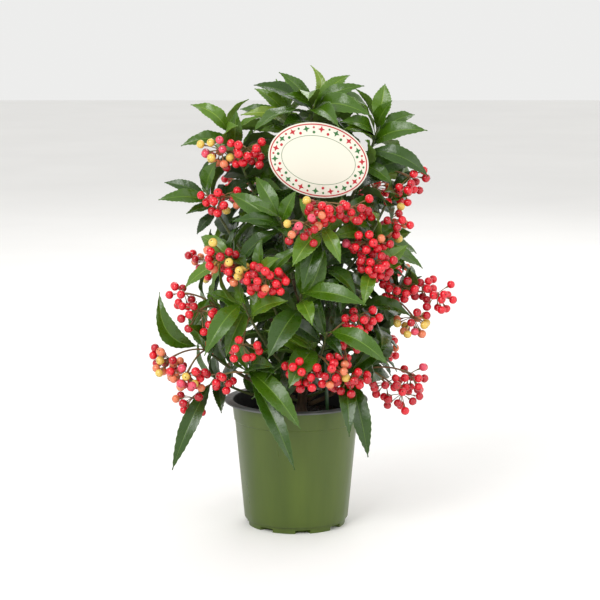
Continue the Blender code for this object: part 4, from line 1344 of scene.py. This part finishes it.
# %% The crumbs
DISC_SIDES = 48
disc = bpy.data.meshes.new("peat_top")
reach = WALL_TOP_RADIUS - WALL - 2.5
ring = [Vector((math.cos(a), math.sin(a), 0)) * reach + UP * PEAT_LEVEL
        for a in (2 * math.pi * i / DISC_SIDES for i in range(DISC_SIDES))]
disc.from_pydata([v * MM for v in ring], [], [tuple(range(DISC_SIDES))])
crumbs = put("peat_crumbs", disc)
scatter = crumbs.modifiers.new("Crumbs", "NODES")
scatter.node_group = crumb_tree()
for item in scatter.node_group.interface.items_tree:
    if item.in_out == "INPUT" and item.name == "Finish":
        scatter[item.identifier] = peat

# The crumbs become a mesh of their own, as the other pieces are.
grown = crumbs.evaluated_get(bpy.context.evaluated_depsgraph_get())
real_crumbs = bpy.data.meshes.new_from_object(grown)
crumbs.modifiers.clear()
crumbs.data = real_crumbs
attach(crumbs, "root")
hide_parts("soil")
print("crumbs:", len(real_crumbs.polygons), "triangles")

# %% [markdown]
# ## The card and its pick
# A glossy oval card stands in the crown on a plastic pick. Its border is two fine rings, with
# small four-pointed stars and dots between them, alternately red and green. The ink is a thin
# solid on the card's front.

# %% Shapes on the card
CARD_STEPS = 128
BEVEL = 0.25            # of the card's edges, in mm
INK, STAR_INK = 0.06, 0.07      # how far rings and stars stand proud of the card, in mm
WIDE = Vector((math.cos(CARD_TILT), 0, math.sin(CARD_TILT)))
TALL = Vector((-math.sin(CARD_TILT), 0, math.cos(CARD_TILT)))


def on_card(angle, inset, proud):
    """A point of the card at an angle, some way in from its edge and proud of its front."""
    return (CARD_CENTRE + WIDE * (CARD_HALF_WIDTH - inset) * math.cos(angle)
            + TALL * (CARD_HALF_HEIGHT - inset) * math.sin(angle)
            + Vector((0, -CARD_THICK - proud, 0)))


def ovals(rows, closed):
    """Ovals at each (inset, proud), joined in turn, and the last to the first if closed."""
    verts, faces = [], []
    for inset, proud in rows:
        verts += [on_card(2 * math.pi * k / CARD_STEPS, inset, proud) for k in range(CARD_STEPS)]
    for row in range(len(rows) - (0 if closed else 1)):
        a, b = row * CARD_STEPS, (row + 1) % len(rows) * CARD_STEPS
        for k in range(CARD_STEPS):
            after = (k + 1) % CARD_STEPS
            faces.append((a + k, a + after, b + after, b + k))
    return verts, faces


def ring_of_ink(outer, inner):
    """A thin printed ring, as a closed flat band."""
    return ovals(((outer, 0.0), (outer, INK), (inner, INK), (inner, 0.0)), closed=True)


def star(angle, inset, size, points, waist):
    """A small flat star on the card's front."""
    centre = on_card(angle, inset, 0)
    verts = []
    for lift in (0.0, STAR_INK):
        for k in range(2 * points):
            reach = size if k % 2 == 0 else size * waist
            turn = math.pi * k / points + angle
            verts.append(centre + (WIDE * math.cos(turn) + TALL * math.sin(turn)) * reach
                         + Vector((0, -lift, 0)))
    n = 2 * points
    sides = [(k, (k + 1) % n, n + (k + 1) % n, n + k) for k in range(n)]
    return verts, sides + [tuple(range(n - 1, -1, -1)), tuple(range(n, 2 * n))]


# %% The card
MOTIFS = 36                             # stars and pairs of dots around the border
STAR = (5.6, 3.1, 4, 0.42)              # inset, size in mm, points and waist
OUTER_DOT, INNER_DOT = (4.4, 1.0, 6, 0.9), (8.6, 1.3, 6, 0.9)
CARD_SLOT, RED_SLOT, GREEN_SLOT = range(3)
card_gloss = surface("coated_card", "#dedacb", 0.22, (12, 0.05), (1.5, 0.06), Coat_Weight=0.4,
                     Coat_Roughness=0.1)
red_ink = surface("red_ink", "#b3202c", 0.3, (3, 0.05), (1.0, 0.08))
green_ink = surface("green_ink", "#2f6a34", 0.3, (3, 0.05), (1.0, 0.08))
card = Batch()
verts, faces = ovals(((BEVEL, -CARD_THICK), (0, BEVEL - CARD_THICK), (0, -BEVEL), (BEVEL, 0)),
                     closed=False)
back, front = tuple(range(CARD_STEPS)), tuple(range(3 * CARD_STEPS, 4 * CARD_STEPS))
card.add((verts, faces + [back, front]), CARD_SLOT)
card.add(ring_of_ink(1.2, 2.2), RED_SLOT)
card.add(ring_of_ink(11.4, 11.8), GREEN_SLOT)
for k in range(MOTIFS):
    angle = 2 * math.pi * (k + 0.5) / MOTIFS
    if k % 2:
        card.add(star(angle, *STAR), RED_SLOT if k % 4 == 1 else GREEN_SLOT)
    else:
        card.add(star(angle, *OUTER_DOT), GREEN_SLOT if k % 4 == 0 else RED_SLOT)
        card.add(star(angle, *INNER_DOT), RED_SLOT if k % 4 == 0 else GREEN_SLOT)
card.make("name_card", [card_gloss, red_ink, green_ink], "card", ["card"], smooth=False)

# %% The pick
pick_plastic = surface("moulded_plastic_green", ("#1f3d1c", "#2a4c26"), 0.4, (4, 0.06), (1.0, 0.15),
                       patches=15)
pick = Batch()
pick.add(pick_shape())
pick.make("pick", [pick_plastic], "pick", ["card_pick"], smooth=False)

# %% [markdown]
# ## Floor, light and camera
# A pale floor and three large soft lights, as in a plain studio. The camera looks at the plant
# from the photograph's angle, a little from above.

# %% The floor
floor_mesh = bpy.data.meshes.new("floor")
floor_mesh.from_pydata([(-4, -4, 0), (4, -4, 0), (4, 6, 0), (-4, 6, 0)], [], [(0, 1, 2, 3)])
floor_mesh.materials.append(surface("pale_floor", ("#f0efed", "#f4f3f1"), 0.85, (60, 0.03),
                                    (20, 0.02), patches=400))
floor = put("floor", floor_mesh)
print("floor:", len(floor_mesh.polygons), "face")

# %% The lights
LAMPS = (       # power in watts, and size and place in metres
    ("key_light", 30, 1.1, (-1.0, -1.6, 1.5)),
    ("fill_light", 10, 1.6, (1.6, -1.2, 0.9)),
    ("back_light", 12, 1.2, (0.4, 1.5, 1.5)))
LIT = Vector((0, 0, 0.22))      # the middle of the plant, which all of them face

for name, power, size, place in LAMPS:
    lamp = bpy.data.lights.new(name, "AREA")
    lamp.energy = power
    lamp.size = size
    light = put(name, lamp)
    light.location = place
    light.rotation_euler = (LIT - Vector(place)).to_track_quat("-Z", "Y").to_euler()
    print(f"{name}: {power} W over {size} m")

world = bpy.data.worlds.new("studio")
world.use_nodes = True
background = world.node_tree.nodes["Background"]
background.inputs["Color"].default_value = colour("#fbfbfa")
background.inputs["Strength"].default_value = 0.88
bpy.context.scene.world = world
bpy.context.scene.view_settings.view_transform = "Standard"

# %% The camera
CAMERA_PLACE = (0.0035, -1.8, 0.5)
CAMERA_DIP = 9.3                # degrees below level
lens = bpy.data.cameras.new("camera")
lens.lens = 121.5
lens.sensor_width = 36
camera = put("camera", lens)
camera.location = CAMERA_PLACE
camera.rotation_euler = (math.radians(90 - CAMERA_DIP), 0, 0)
bpy.context.scene.camera = camera
print("camera:", lens.lens, "mm,", CAMERA_DIP, "degrees down")
